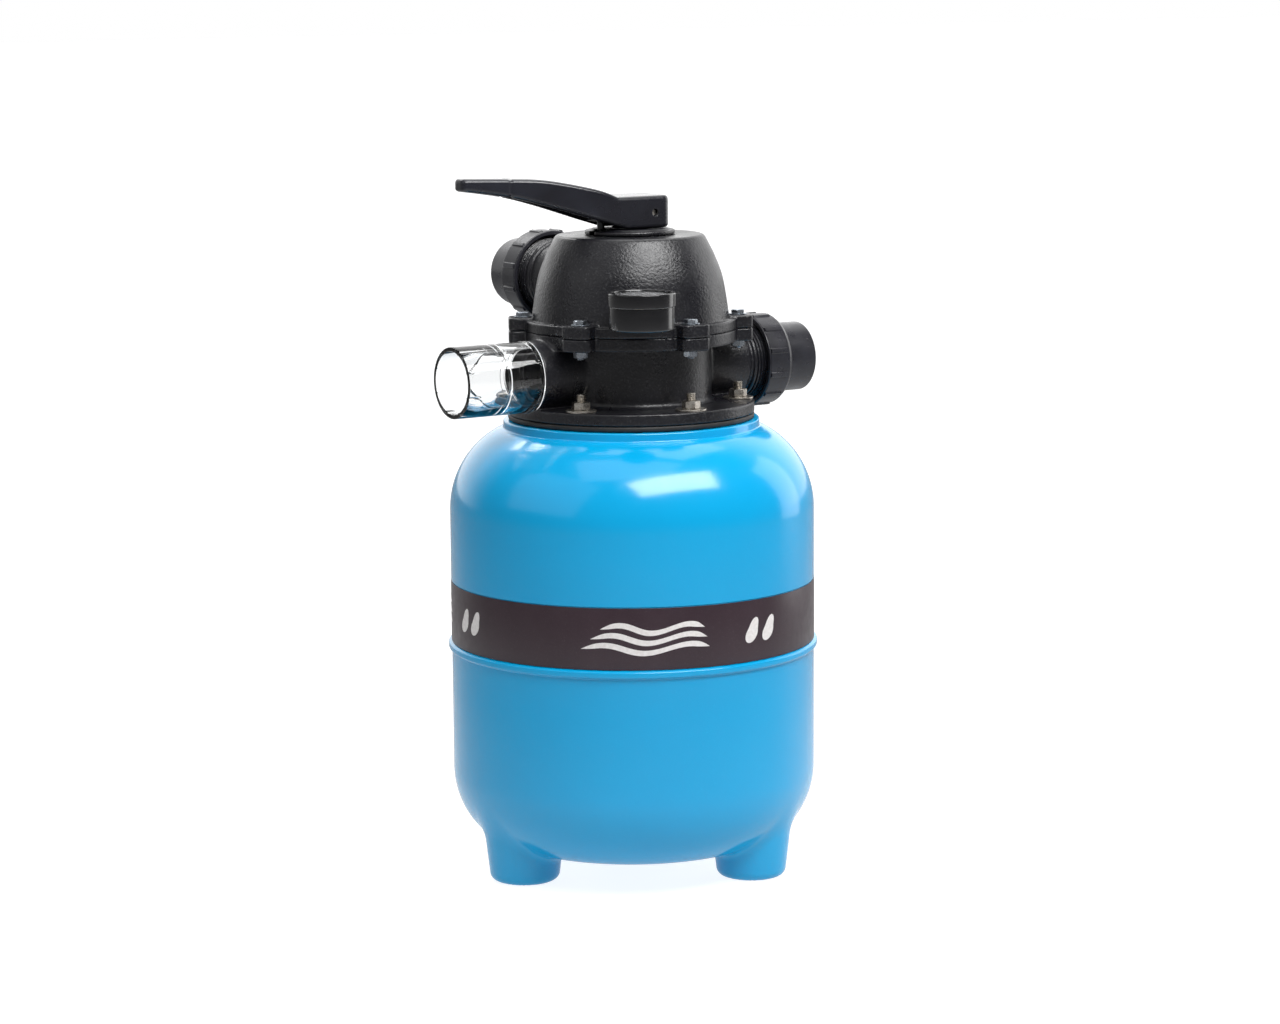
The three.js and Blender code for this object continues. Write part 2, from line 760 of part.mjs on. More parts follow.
add(
  "sight_glass",
  revolvedOut(
    [
      [tail.bore, glassFoot],
      [glass.spigotRadius, glassFoot],
      [glass.spigotRadius, port.neckEnd - 0.2],
      [glassCollar, port.neckEnd - 0.2],
      [glassCollar, port.neckEnd + 3],
      [glass.radius, port.neckEnd + 3.5],
      [glass.radius, glass.end],
      [glass.bore, glass.end],
      [glass.bore, glass.stop],
      [tail.bore, glass.stop],
    ],
    WASTE,
    body.portZ,
  ),
  clearPlastic,
);

function unionNut(azimuth, z, shift) {
  const face = union.face + shift;
  const end = face + union.length;
  const bore = clearOf(port.thread);
  const lipBore = clearOf(tail.radius);
  const outline = [
    [bore, face],
    [union.radius - 0.8, face],
    [union.radius, face + 0.8],
    [union.radius, end - 4],
    [union.radius - 2, end],
    [lipBore, end],
    [lipBore, face + union.lip],
    [bore, face + union.lip],
  ];
  const ribs = Array.from({ length: union.ribs }, (_, i) => {
    const rib = box(union.ribWidth, 3, face + 1, end - 5);
    rib.translate(0, union.radius + union.ribHeight - 1.5, 0).rotateZ(radians((i * 360) / union.ribs));
    return solid(outward(rib, azimuth, z));
  });
  return join(solid(revolvedOut(outline, azimuth, z)), ...ribs);
}

function unionTail({ radius, socket, bore, collar, collarStart, stop, end }, azimuth, z, shift) {
  const collarEnd = union.face + union.lip - GAP;
  const outline = [
    [bore, collarStart],
    [collar, collarStart],
    [collar, collarEnd],
    [radius, collarEnd],
    [radius, end],
    [socket, end],
    [socket, stop],
    [bore, stop],
  ];
  return revolvedOut(outline.map(([r, l]) => [r, l + shift]), azimuth, z);
}

function unionSeal(azimuth, z, shift) {
  const ring = oRing(seal.radius, seal.section, port.threadEnd - seal.section + 0.1 + shift, 20);
  return outward(ring, azimuth, z);
}

for (const [name, azimuth, z, shift, shape] of [
  ["return", RETURN, body.portZ, 0, tail],
  ["pump", PUMP, lid.portZ, PUMP_REACH, pumpTail],
]) {
  add(`${name}_nut`, unionNut(azimuth, z, shift), blackPlastic);
  add(`${name}_tail`, unionTail(shape, azimuth, z, shift), greyPlastic);
  add(`${name}_oring`, unionSeal(azimuth, z, shift), rubber);
}

// ---------------------------------------------------------------- pressure gauge

// Everything in the gauge stands on its own vertical axis.
function onGauge(geometry) {
  return placed(geometry, gauge.azimuth, gauge.circle);
}

function gaugeCase() {
  const r = gauge.radius - 1;
  const rim = gauge.bezel - GAP;
  const outline = [
    [0, gauge.bottom],
    [r - 1.5, gauge.bottom],
    [r, gauge.bottom + 1.5],
    [r, rim],
    [r - gauge.wall, rim],
    [r - gauge.wall, gauge.bottom + gauge.wall],
    [0, gauge.bottom + gauge.wall],
  ];
  const hole = barOut(5 + GAP, gauge.circle - r - 1, gauge.circle - r + 3, gauge.azimuth, gauge.stemZ, 12);
  return cut(solid(onGauge(revolved(outline, 20))), solid(hole));
}

add("gauge_case", gaugeCase(), blackPlastic);
add(
  "gauge_bezel",
  onGauge(
    revolved(
      [
        [gauge.radius - 1.7, gauge.bezel],
        [gauge.radius, gauge.bezel],
        [gauge.radius, gauge.top - 0.8],
        [gauge.radius - 0.8, gauge.top],
        [gauge.radius - 3, gauge.top],
        [gauge.radius - 3, dial.lens + dial.lensThick + GAP],
        [gauge.radius - 1.7, dial.lens + dial.lensThick + GAP],
      ],
      20,
    ),
  ),
  blackPlastic,
);
add("gauge_lens", onGauge(bar(gauge.radius - 2, dial.lens, dial.lens + dial.lensThick, 20)), clearPlastic);
add("gauge_dial", onGauge(bar(gauge.radius - 3.2, dial.z, dial.z + dial.thick, 20)), dialWhite);

function gaugeNeedle() {
  const blade = new THREE.Shape([point(-1.1, 5), point(1.1, 5), point(0.5, -17), point(-0.5, -17)]);
  const flat = prism(blade, dial.needle + 0.5, dial.needle + 1.3);
  return geometryOf(join(solid(flat), solid(bar(2.6, dial.needle, dial.needle + 2.4, 10))));
}

add("gauge_needle", onGauge(gaugeNeedle()), needleBlack);

// Threaded stem with its square for the spanner, from the lid's boss into the gauge's case.
function gaugeStem() {
  const caseSide = gauge.circle - gauge.radius;
  const wrench = outward(box(9, 9, boss.end + GAP, caseSide + 0.7), gauge.azimuth, gauge.stemZ);
  const thin = (from, to) => solid(barOut(4, from, to, gauge.azimuth, gauge.stemZ, 12));
  return join(thin(72, boss.end + 2), solid(wrench), thin(boss.end + 1, caseSide + 5));
}

add("gauge_stem", gaugeStem(), brass);

// ---------------------------------------------------------------- fasteners

const nutZ = body.flange.top + steel.washer;
const headZ = lid.rim.earTop + lidBolt.washer + 0.1;

BOLT_AZIMUTHS.forEach((azimuth, i) => {
  const number = i + 1;
  const put = (geometry) => placed(geometry, azimuth, BOLT_CIRCLE);
  add(`tank_stud_${number}`, put(bar(4, steel.studBottom, steel.studTop, 8)), stainless);
  const nut = prism(hexagon(steel.nutWidth, 4 + GAP), nutZ, nutZ + steel.nutHeight);
  add(`tank_nut_${number}`, put(nut), stainless);
  if (azimuth === PUMP) {
    const underside = body.rim.z - GAP;
    add(`lid_bolt_${number}`, lidBoltSolid(put, underside - lidBolt.head, lid.rim.z + 5, true), zinc);
    return;
  }
  add(`lid_bolt_${number}`, lidBoltSolid(put, lidBolt.end, headZ + lidBolt.head, false), zinc);
  const lidNutZ = body.rim.z - GAP - lidBolt.nut;
  const lidNut = prism(hexagon(lidBolt.width, lidBolt.radius + GAP), lidNutZ, lidNutZ + lidBolt.nut);
  add(`lid_nut_${number}`, put(lidNut), zinc);
});

// A hexagon bolt between two heights, with its head at the bottom or at the top.
function lidBoltSolid(put, from, to, headDown) {
  const head = headDown ? [from, from + lidBolt.head] : [to - lidBolt.head, to];
  const shank = solid(put(bar(lidBolt.radius, from, to, 8)));
  return join(shank, solid(put(prism(hexagon(lidBolt.width), ...head))));
}

export default filter;
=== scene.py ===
import json
from math import acos, asin, atan2, cos, degrees, pi, radians, sin, tan
from types import SimpleNamespace as Dimensions

import bmesh
import bpy
import numpy as np
import openvdb
from mathutils import Matrix, Vector

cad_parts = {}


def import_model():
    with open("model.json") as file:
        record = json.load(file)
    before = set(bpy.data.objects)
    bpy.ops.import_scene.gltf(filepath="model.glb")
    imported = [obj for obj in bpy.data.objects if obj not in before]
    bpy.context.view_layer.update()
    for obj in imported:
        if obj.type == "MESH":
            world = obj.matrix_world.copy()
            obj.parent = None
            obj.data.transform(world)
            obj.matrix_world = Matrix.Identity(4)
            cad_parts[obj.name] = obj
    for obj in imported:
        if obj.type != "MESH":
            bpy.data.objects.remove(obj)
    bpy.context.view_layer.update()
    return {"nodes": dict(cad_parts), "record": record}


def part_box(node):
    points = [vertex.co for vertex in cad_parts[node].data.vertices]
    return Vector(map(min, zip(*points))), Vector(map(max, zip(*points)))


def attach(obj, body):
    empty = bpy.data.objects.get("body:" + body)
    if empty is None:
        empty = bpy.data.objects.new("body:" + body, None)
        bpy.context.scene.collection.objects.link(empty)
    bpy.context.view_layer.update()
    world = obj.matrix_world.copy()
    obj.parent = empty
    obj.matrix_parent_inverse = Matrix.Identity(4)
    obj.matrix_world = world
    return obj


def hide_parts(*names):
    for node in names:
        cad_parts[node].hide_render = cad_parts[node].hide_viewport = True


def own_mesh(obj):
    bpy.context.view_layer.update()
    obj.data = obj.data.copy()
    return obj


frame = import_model()

# The looks of a swimming-pool sand filter. Shapes are made in millimetres from the tank's own axis,
# +Z up, and mesh_of() brings them into the frame's metres. An azimuth is measured from -Y towards +X.

MM = 0.001
AXIS_Y = sum(corner.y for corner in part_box("label_band")) / 2


def limits(node):
    """Lowest and highest corner of a CAD node, in millimetres from the tank's axis."""
    shift = Vector((0, AXIS_Y, 0))
    return [(corner - shift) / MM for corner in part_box(node)]


# ---- driving dimensions

WASTE, RETURN, PUMP = -90, 90, 180
BOLTS = {1: -60, 2: 0, 3: 60, 4: 120, 5: 180, 6: -120}
BOLT_CIRCLE = 88
SECTOR = 60  # degrees from one bolt to the next
BOLT_HEAD = 3.2
LIFT = 0.02  # keeps a washer's faces off the ones it touches

WALL = 4
TANK = 150
TANK_TOP = limits("tank_shell")[1].z
CORNER = Dimensions(across=54, up=63, underside=22, crown=4)
SHOULDER = Dimensions(z=300, radius=74)
RIDGE = Dimensions(z=185, height=6, out=2.6)
COLLAR = Dimensions(radius=105.2, z=366.5)
NECK = Dimensions(bore=66, boss=352)
PIPE_BORE = 22.6
FOOT = Dimensions(azimuths=(-90, 30, 150), circle=107.5, flat=21.8, radius=28.8, round=7)
FOOT_TOP, FOOT_HEIGHT = 36, 68
BAND_LOW, BAND_HIGH = (corner.z for corner in limits("label_band"))
BAND_RADIUS = limits("label_band")[1].x

BODY_LOW, BODY_TOP = (corner.z for corner in limits("valve_body"))
FLANGE = Dimensions(radius=101.2, z=379, top=388.5)
BODY = Dimensions(radius=66, cavity=61, deck=438, floor=390, rim=437, rim_radius=87)
EAR = Dimensions(half=12.5, reach=99.8)
LID_LOW, LID_TOP = (corner.z for corner in limits("valve_lid"))
LID_RIM, LID_EAR = 455.8, 457.8

PORT_Z = sum(corner.z for corner in limits("return_nut")) / 2
PUMP_Z = sum(corner.z for corner in limits("pump_nut")) / 2
PUMP_REACH = limits("pump_nut")[1].y - limits("return_nut")[1].x
PORT = Dimensions(neck=29, bore=20.5, root=30.2, crest=31.5, shoulder=100, thread=103.4, end=122)
NUT_FACE, NUT_END = limits("return_nut")[0].x, limits("return_nut")[1].x
NUT_RADIUS, NUT_LIP, RIBS, RIB = 38, 14.8, 12, 1.3
TAIL = Dimensions(radius=28.75, socket=25.1, bore=21.5, collar=31.4)
GLASS_END = -limits("sight_glass")[0].x

GAUGE = Dimensions(azimuth=-28.5, circle=114, radius=27, stem_z=470)
PIN = Dimensions(x=10.5, z=542.8, radius=2.5)

# ---- outlines


def rounded(corners, steps=6):
    """Closed outline through (x, y, radius) corners. A corner without a radius stays sharp."""
    outline = []
    for i, corner in enumerate(corners):
        here = np.array(corner[:2], float)
        radius = corner[2] if len(corner) > 2 else 0
        if radius == 0:
            outline.append(tuple(here))
            continue
        before = np.array(corners[i - 1][:2], float) - here
        after = np.array(corners[(i + 1) % len(corners)][:2], float) - here
        before /= np.hypot(*before)
        after /= np.hypot(*after)
        half = acos(np.clip(before @ after, -1, 1)) / 2
        middle = before + after
        centre = here + middle / np.hypot(*middle) * radius / sin(half)
        start = here + before * radius / tan(half) - centre
        end = here + after * radius / tan(half) - centre
        first = atan2(start[1], start[0])
        sweep = (atan2(end[1], end[0]) - first + pi) % (2 * pi) - pi
        for k in range(steps + 1):
            angle = first + sweep * k / steps
            outline.append((centre[0] + radius * cos(angle), centre[1] + radius * sin(angle)))
    return outline


def arc(centre, radii, start, end, steps):
    """Points of an elliptic arc, angles in degrees."""
    angles = np.radians(np.linspace(start, end, steps + 1))
    return [(centre[0] + radii[0] * cos(a), centre[1] + radii[1] * sin(a)) for a in angles]


def spline(points, steps=8):
    """Smooth curve through points, ends included."""
    p = np.array([points[0], *points, points[-1]], float)
    curve = []
    for i in range(1, len(p) - 2):
        for t in np.arange(steps) / steps:
            out = p[i + 1] - p[i - 1]
            into = p[i + 2] - p[i]
            bend = 2 * p[i] - 2 * p[i + 1] + (out + into) / 2
            lean = -3 * p[i] + 3 * p[i + 1] - out - into / 2
            curve.append(tuple(((bend * t + lean) * t + out / 2) * t + p[i]))
    return [*curve, tuple(p[-1])]


# ---- shapes: (points, faces)


def lathe(outline, segments=96, swell=None, open_start=False):
    """An outline of (radius, height) points turned about Z, each of which swell() may move."""
    points, rings, faces = [], [], []
    angles = np.arange(segments) * 2 * pi / segments
    for radius, z in outline:
        turns = [0.0] if radius < 1e-6 else angles
        rings.append(list(range(len(points), len(points) + len(turns))))
        for angle in turns:
            r, h = swell(angle, radius, z) if swell else (radius, z)
            points.append((r * cos(angle), r * sin(angle), h))
    on_axis = outline[0][0] < 1e-6 or open_start
    for lower, upper in zip(rings, rings[1:] if on_axis else rings[1:] + rings[:1]):
        for k in range(segments):
            a, b = k % len(lower), (k + 1) % segments % len(lower)
            c, d = (k + 1) % segments % len(upper), k % len(upper)
            face = tuple(dict.fromkeys((lower[a], lower[b], upper[c], upper[d])))
            if len(face) > 2:
                faces.append(face)
    return np.array(points), faces


def turned(corners, segments, steps=6):
    """Rounded (radius, height, rounding) corners turned about Z."""
    return lathe(rounded(corners, steps), segments)


def annulus(inner, outer, low, high, inner_edge, outer_edge, segments, steps=6):
    """A flat ring or a pipe, with its inner and outer edges rounded."""
    corners = [(inner, low, inner_edge), (outer, low, outer_edge)]
    corners += [(outer, high, outer_edge), (inner, high, inner_edge)]
    return turned(corners, segments, steps)


def disc(radius, low, high, edge, segments=48, steps=4):
    """A round plate or bar with its edges rounded."""
    return annulus(0, radius, low, high, 0, edge, segments, steps)


def skinned(rings):
    """Closed skin over a row of rings with equal numbers of points, capped at both ends."""
    sides = len(rings[0])
    last = sides * (len(rings) - 1)
    faces = [tuple(range(sides)), tuple(range(last, last + sides))]
    for first in range(0, last, sides):
        for k in range(sides):
            here, beside = first + k, first + (k + 1) % sides
            faces.append((here, beside, beside + sides, here + sides))
    return np.concatenate(rings), faces


def tube(path, radius, sides):
    """A round wire along a path of points, with capped ends."""
    path = np.array(path, float)
    turns = np.arange(sides)[:, None] * 2 * pi / sides
    rings = []
    for i, here in enumerate(path):
        along = path[min(i + 1, len(path) - 1)] - path[max(i - 1, 0)]
        across = np.cross(along, (0, 0, 1))
        across /= np.linalg.norm(across)
        other = np.cross(along / np.linalg.norm(along), across)
        rings.append(here + radius * (across * np.cos(turns) + other * np.sin(turns)))
    return skinned(rings)


def merged(*shapes):
    points, faces, count = [], [], 0
    for part, part_faces in shapes:
        points.append(part)
        faces += [tuple(index + count for index in face) for face in part_faces]
        count += len(part)
    return np.concatenate(points), faces


def moved(shape, matrix):
    points, faces = shape
    turn = np.array(matrix)
    return points @ turn[:3, :3].T + turn[:3, 3], faces


def outward(shape, azimuth, z):
    """Lays a shape along an azimuth: its height becomes the distance from the tank's axis."""
    s, c = sin(radians(azimuth)), cos(radians(azimuth))
    return moved(shape, Matrix(((c, 0, s, 0), (s, 0, -c, 0), (0, 1, 0, z), (0, 0, 0, 1))))


def placed(shape, azimuth, distance):
    """Moves an upright shape to a distance from the tank's axis, turned with its azimuth."""
    turn = Matrix.Rotation(radians(azimuth), 4, "Z")
    return moved(shape, turn @ Matrix.Translation((0, -distance, 0)))


# ---- distance fields: negative inside


def outline_distance(outline, u, v):
    """Signed distance from (u, v) to a closed outline."""
    nearest = np.full(np.broadcast(u, v).shape, np.inf)
    inside = np.zeros(nearest.shape, bool)
    for (ax, ay), (bx, by) in zip(outline, np.roll(outline, -1, 0)):
        ex, ey = bx - ax, by - ay
        if ex == 0 and ey == 0:
            continue
        t = np.clip(((u - ax) * ex + (v - ay) * ey) / (ex * ex + ey * ey), 0, 1)
        nearest = np.minimum(nearest, (u - ax - ex * t) ** 2 + (v - ay - ey * t) ** 2)
        if ey != 0:
            inside ^= ((ay > v) != (by > v)) & (u < ex * (v - ay) / ey + ax)
    return np.where(inside, -1, 1) * np.sqrt(nearest)


class Section:
    """Signed distance to a closed outline, read from a table where there are many points."""

    STEP = 0.3
    MARGIN = 9
    MANY = 30000

    def __init__(self, outline):
        self.outline = np.array(outline, float)
        self.low = self.outline.min(0) - self.MARGIN
        high = self.outline.max(0) + self.MARGIN
        u, v = (np.arange(self.low[i], high[i], self.STEP) for i in (0, 1))
        self.table = outline_distance(self.outline, u[:, None], v[None, :])

    def __call__(self, u, v):
        if np.broadcast(u, v).size < self.MANY:
            return outline_distance(self.outline, u, v)
        column, row = self.table.shape
        i = np.clip((u - self.low[0]) / self.STEP, 0, column - 1.001)
        j = np.clip((v - self.low[1]) / self.STEP, 0, row - 1.001)
        i0, j0 = i.astype(int), j.astype(int)
        fi, fj = i - i0, j - j0
        near = self.table[i0, j0] * (1 - fj) + self.table[i0, j0 + 1] * fj
        far = self.table[i0 + 1, j0] * (1 - fj) + self.table[i0 + 1, j0 + 1] * fj
        return near * (1 - fi) + far * fi


def meet(a, b, radius=0.8):
    """What two fields share, with its new edge rounded."""
    past = np.hypot(np.maximum(a + radius, 0), np.maximum(b + radius, 0))
    return np.minimum(-radius, np.maximum(a, b)) + past


def cut(a, b, radius=0.8):
    return meet(a, -b, radius)


def join(a, b, radius=0.8):
    """Both fields together, with a fillet where they meet."""
    short = np.hypot(np.maximum(radius - a, 0), np.maximum(radius - b, 0))
    return np.maximum(radius, np.minimum(a, b)) - short


def between(value, low, high):
    return np.abs(value - (low + high) / 2) - (high - low) / 2


def out_and_across(x, y, azimuth):
    s, c = sin(radians(azimuth)), cos(radians(azimuth))
    return x * s - y * c, x * c + y * s


def sector(x, y):
    """Distance out and across, folded so that the six bolts' directions fall on one another."""
    angle = np.arctan2(x, -y)
    step = radians(SECTOR)
    angle = (angle + step / 2) % step - step / 2
    r = np.hypot(x, y)
    return r * np.cos(angle), r * np.sin(angle)


def carve(field, low, high, voxel, adaptivity=0.0):
    """Shape of the surface where a field is zero, with its points brought onto that surface."""
    low = np.array(low, float) - 3 * voxel
    counts = np.ceil((np.array(high) + 3 * voxel - low) / voxel).astype(int) + 1
    axes = [low[i] + voxel * np.arange(counts[i]) for i in range(3)]
    values = np.clip(field(*np.meshgrid(*axes, indexing="ij", sparse=True)), -3 * voxel, 3 * voxel)
    grid = openvdb.FloatGrid()
    grid.copyFromArray(np.ascontiguousarray(values, dtype=np.float32))
    points, triangles, quads = grid.convertToPolygons(isovalue=0.0, adaptivity=adaptivity)
    points = low + voxel * points.astype(float)
    reach = 0.25 * voxel
    for _ in range(2):
        slope = np.stack([
            field(*(points + reach * axis).T) - field(*(points - reach * axis).T) for axis in np.eye(3)
        ], axis=1) / (2 * reach)
        length = np.maximum((slope**2).sum(1), 0.25)
        step = np.clip(field(*points.T), -voxel / 2, voxel / 2) / length
        points -= slope * step[:, None]
    return points, [*map(tuple, triangles.tolist()), *map(tuple, quads.tolist())]


# ---- pieces


def mesh_of(name, shape, sharp=35):
    points, faces = shape
    mesh = bpy.data.meshes.new(name)
    mesh.from_pydata(points.tolist(), [], faces)
    mesh.transform(Matrix.Translation((0, AXIS_Y, 0)) @ Matrix.Scale(MM, 4))
    bm = bmesh.new()
    bm.from_mesh(mesh)
    bmesh.ops.recalc_face_normals(bm, faces=bm.faces)
    bm.to_mesh(mesh)
    bm.free()
    mesh.shade_smooth()
    mesh.set_sharp_from_angle(angle=radians(sharp))
    return mesh


# ---- materials


def add_node(tree, kind, inputs=(), **settings):
    """A new shader node with its settings. An input takes a value or another node's output."""
    node = tree.nodes.new(f"ShaderNode{kind}")
    for setting, value in settings.items():
        setattr(node, setting, value)
    for socket, value in dict(inputs).items():
        if isinstance(value, bpy.types.NodeSocket):
            tree.links.new(value, node.inputs[socket])
        else:
            node.inputs[socket].default_value = value
    return node


class Finish:
    """A procedural material: a Principled shader fed by noise in the piece's own coordinates, in metres.

    Noise is given as (scale, detail, distortion, stretch)."""

    def __init__(self, name, color, metallic=0.0, **sockets):
        self.name = name
        self.material = bpy.data.materials.new(name)
        self.material.use_nodes = True
        self.tree = self.material.node_tree
        self.shader = self.tree.nodes["Principled BSDF"]
        self.shader.inputs["Base Color"].default_value = (*color, 1)
        self.shader.inputs["Metallic"].default_value = metallic
        self.color = color
        for socket, value in sockets.items():
            self.shader.inputs[socket.replace("_", " ")].default_value = value
        self.place = self.add("TexCoord").outputs["Object"]

    def add(self, kind, inputs=(), **settings):
        return add_node(self.tree, kind, inputs, **settings)

    def noise(self, scale, detail=3.0, distortion=0.0, stretch=(1, 1, 1)):
        place = self.add("Mapping", {"Vector": self.place, "Scale": stretch}).outputs["Vector"]
        inputs = {"Vector": place, "Scale": scale, "Detail": detail, "Distortion": distortion}
        return self.add("TexNoise", inputs).outputs["Fac"]

    def spread(self, value, low, high, start=0.3, end=0.7):
        inputs = {"Value": value, "From Min": start, "From Max": end, "To Min": low, "To Max": high}
        return self.add("MapRange", inputs).outputs["Result"]

    def tint(self, noise, other, start=0.35, end=0.65):
        """The base colour turns into another colour where the noise is high."""
        base = self.shader.inputs["Base Color"]
        color = base.links[0].from_socket if base.is_linked else (*self.color, 1)
        inputs = {0: self.spread(self.noise(*noise), 0, 1, start, end), 6: color, 7: (*other, 1)}
        self.tree.links.new(self.add("Mix", inputs, data_type="RGBA").outputs[2], base)
        return self

    def rough(self, noise, low, high):
        gloss = self.spread(self.noise(*noise), low, high)
        self.tree.links.new(gloss, self.shader.inputs["Roughness"])
        return self

    def bump(self, noise, depth_mm):
        normal = self.shader.inputs["Normal"]
        inputs = {"Height": self.noise(*noise), "Distance": depth_mm * MM, "Strength": 1.0}
        if normal.is_linked:
            inputs["Normal"] = normal.links[0].from_socket
        self.tree.links.new(self.add("Bump", inputs).outputs["Normal"], normal)
        return self


def plain(name, color, other, blotches, gloss, grain, depth_mm, **sockets):
    """Blotches of another colour, uneven gloss from (scale, detail, low, high), and a fine grain."""
    finish = Finish(name, color, **sockets).tint(blotches, other)
    return finish.rough(gloss[:2], *gloss[2:]).bump(grain, depth_mm)


def metal(name, color, other, low, high):
    finish = Finish(name, color, 1.0).tint((350, 5, 1.2), other)
    return finish.rough((500, 5, 0, (1, 1, 5)), low, high).bump((1600, 3, 0, (1, 1, 3)), 0.012)


def clear(name, tint, roughness, clearness=1.0, ior=1.49):
    finish = Finish(name, tint, Transmission_Weight=clearness, IOR=ior)
    return finish.rough((70, 4), roughness, roughness + 0.03).bump((45, 3), 0.008)


def grey(value, blue=0.0):
    return (value, value, value + blue)


# The dial's faint glow stands for the studio light that comes in through the window.
FINISHES = [
    Finish("tank_blue", (0.0, 0.345, 0.675), Coat_Weight=0.15, Coat_Roughness=0.05)
    .tint((7, 4), (0.0, 0.362, 0.70))
    .tint((1100, 2), (0.002, 0.395, 0.745), 0.6, 0.8)
    .rough((60, 5), 0.15, 0.20)
    .bump((30, 1), 0.05)
    .bump((1500, 2), 0.0025),
    Finish("band_print", (0.030, 0.016, 0.023))
    .tint((30, 4, 0, (1, 1, 0.15)), (0.037, 0.021, 0.029))
    .tint((1300, 2), (0.070, 0.050, 0.058), 0.6, 0.8)
    .rough((120, 4), 0.30, 0.40)
    .bump((700, 2), 0.006),
    plain(
        "print_white", (0.78, 0.76, 0.75), (0.70, 0.67, 0.66), (400, 3), (200, 3, 0.35, 0.5), (900, 2), 0.005
    ),
    Finish("valve_black", grey(0.004, 0.002))
    .tint((14, 5, 0.6), grey(0.008, 0.003))
    .tint((620, 3), grey(0.030, 0.003), 0.55, 0.72)
    .rough((45, 6, 0.4), 0.24, 0.38)
    .bump((480, 4), 0.42)
    .bump((1700, 2), 0.02),
    Finish("fitting_black", grey(0.014, 0.004))
    .tint((35, 5, 0.8), grey(0.022, 0.006))
    .tint((210, 8, 1.5, (1, 1, 6)), grey(0.10), 0.66, 0.74)
    .rough((80, 5), 0.24, 0.38)
    .bump((900, 2), 0.012),
    Finish("handle_grey", grey(0.007, 0.004), Coat_Weight=0.3, Coat_Roughness=0.12)
    .tint((18, 4, 0.8), (0.013, 0.014, 0.021))
    .rough((40, 5, 0.5), 0.20, 0.30)
    .bump((1000, 3), 0.015),
    plain(
        "gauge_black", grey(0.005, 0.001), grey(0.008, 0.001), (60, 4), (150, 4, 0.14, 0.24), (700, 2), 0.006,
        Coat_Weight=0.4, Coat_Roughness=0.05,
    ),
    plain("seal_rubber", grey(0.010), grey(0.018), (90, 4), (120, 4, 0.50, 0.66), (900, 3), 0.04),
    plain("inner_white", grey(0.74, -0.03), grey(0.66, -0.04), (40, 4), (90, 4, 0.38, 0.52), (600, 2), 0.02),
    metal("stainless_steel", (0.60, 0.57, 0.52), (0.44, 0.40, 0.35), 0.22, 0.40),
    metal("zinc_plated_steel", (0.46, 0.50, 0.54), (0.34, 0.37, 0.42), 0.22, 0.36),
    metal("spring_steel", (0.45, 0.46, 0.48), (0.34, 0.34, 0.35), 0.25, 0.38),
    metal("brass", (0.60, 0.43, 0.17), (0.45, 0.31, 0.11), 0.25, 0.40),
    clear("clear_tube", (0.965, 0.972, 0.975), 0.0),
    clear("gauge_window", (0.94, 0.95, 0.96), 0.0, 0.96, 1.2),
    plain(
        "dial_white", (0.80, 0.81, 0.82), (0.74, 0.75, 0.76), (300, 3), (200, 3, 0.35, 0.45), (800, 2), 0.004,
        Emission_Color=(1, 1, 1, 1), Emission_Strength=0.5,
    ),
    plain(
        "needle_black", grey(0.012, 0.002), grey(0.02, 0.002), (400, 3), (300, 3, 0.35, 0.5), (900, 2), 0.004
    ),
]
MATERIALS = {finish.name: finish.material for finish in FINISHES}


def add(name, shape, slot, nodes, body="root", sharp=35, look=None):
    """A finished piece that rides on a body and stands for the CAD nodes it replaces."""
    piece = bpy.data.objects.new(name, mesh_of(name, shape, sharp))
    bpy.context.scene.collection.objects.link(piece)
    piece.data.materials.append(MATERIALS[look or slot])
    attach(piece, body)
    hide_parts(*nodes)
    return piece


# ---- tank

SPLIT = 150  # height where the turned upper tank meets the carved bottom with its feet
TANK_SEGMENTS = 224


def lower_outline(inset):
    """Bottom of the tank from its axis to the top of the rounded corner."""
    across, up, low, crown = CORNER.across, CORNER.up, CORNER.underside, CORNER.crown
    flat = TANK - across
    floor = [(r, low + inset + crown * (1 - (r / flat) ** 2)) for r in np.linspace(0, flat, 7)[:-1]]
    return floor + arc((flat, low + up), (across - inset, up - inset), -90, 0, 24)


def upper_tank():
    """Turned wall, shoulder and neck, then back down the inside to the axis."""
    top = RIDGE.z + RIDGE.height
    wide = TANK + RIDGE.out
    seat = TANK - 0.6
    centre = TANK - SHOULDER.radius
    end = degrees(asin((COLLAR.z - SHOULDER.z) / SHOULDER.radius))
    outside = rounded([
        (TANK, SPLIT + 2), (TANK, RIDGE.z - 0.4, 1.2), (wide, RIDGE.z + 0.6, 1.3),
        (wide, top - 0.9, 1.3), (seat, top + 0.4, 0.5), (seat, BAND_HIGH + 0.5, 0.2),
        (TANK, BAND_HIGH + 0.9, 0.5), (TANK, SHOULDER.z - 20),
    ])
    shoulder = arc((centre, SHOULDER.z), (SHOULDER.radius,) * 2, 0, end, 28)
    neck = rounded([
        shoulder[-1],
        (COLLAR.radius, COLLAR.z + 0.4, 1.6), (COLLAR.radius, TANK_TOP, 1.4),
        (NECK.bore, TANK_TOP, 0.6), (NECK.bore, NECK.boss, 0.6), (NECK.bore + 20, NECK.boss),
    ])[1:]
    inner = SHOULDER.radius - WALL
    end = degrees(asin((NECK.boss - SHOULDER.z) / inner))
    inside = arc((centre, SHOULDER.z), (inner, inner), end, 0, 14) + lower_outline(WALL)[::-1]
    return lathe(outside + shoulder[:-1] + neck + inside, TANK_SEGMENTS, open_start=True)


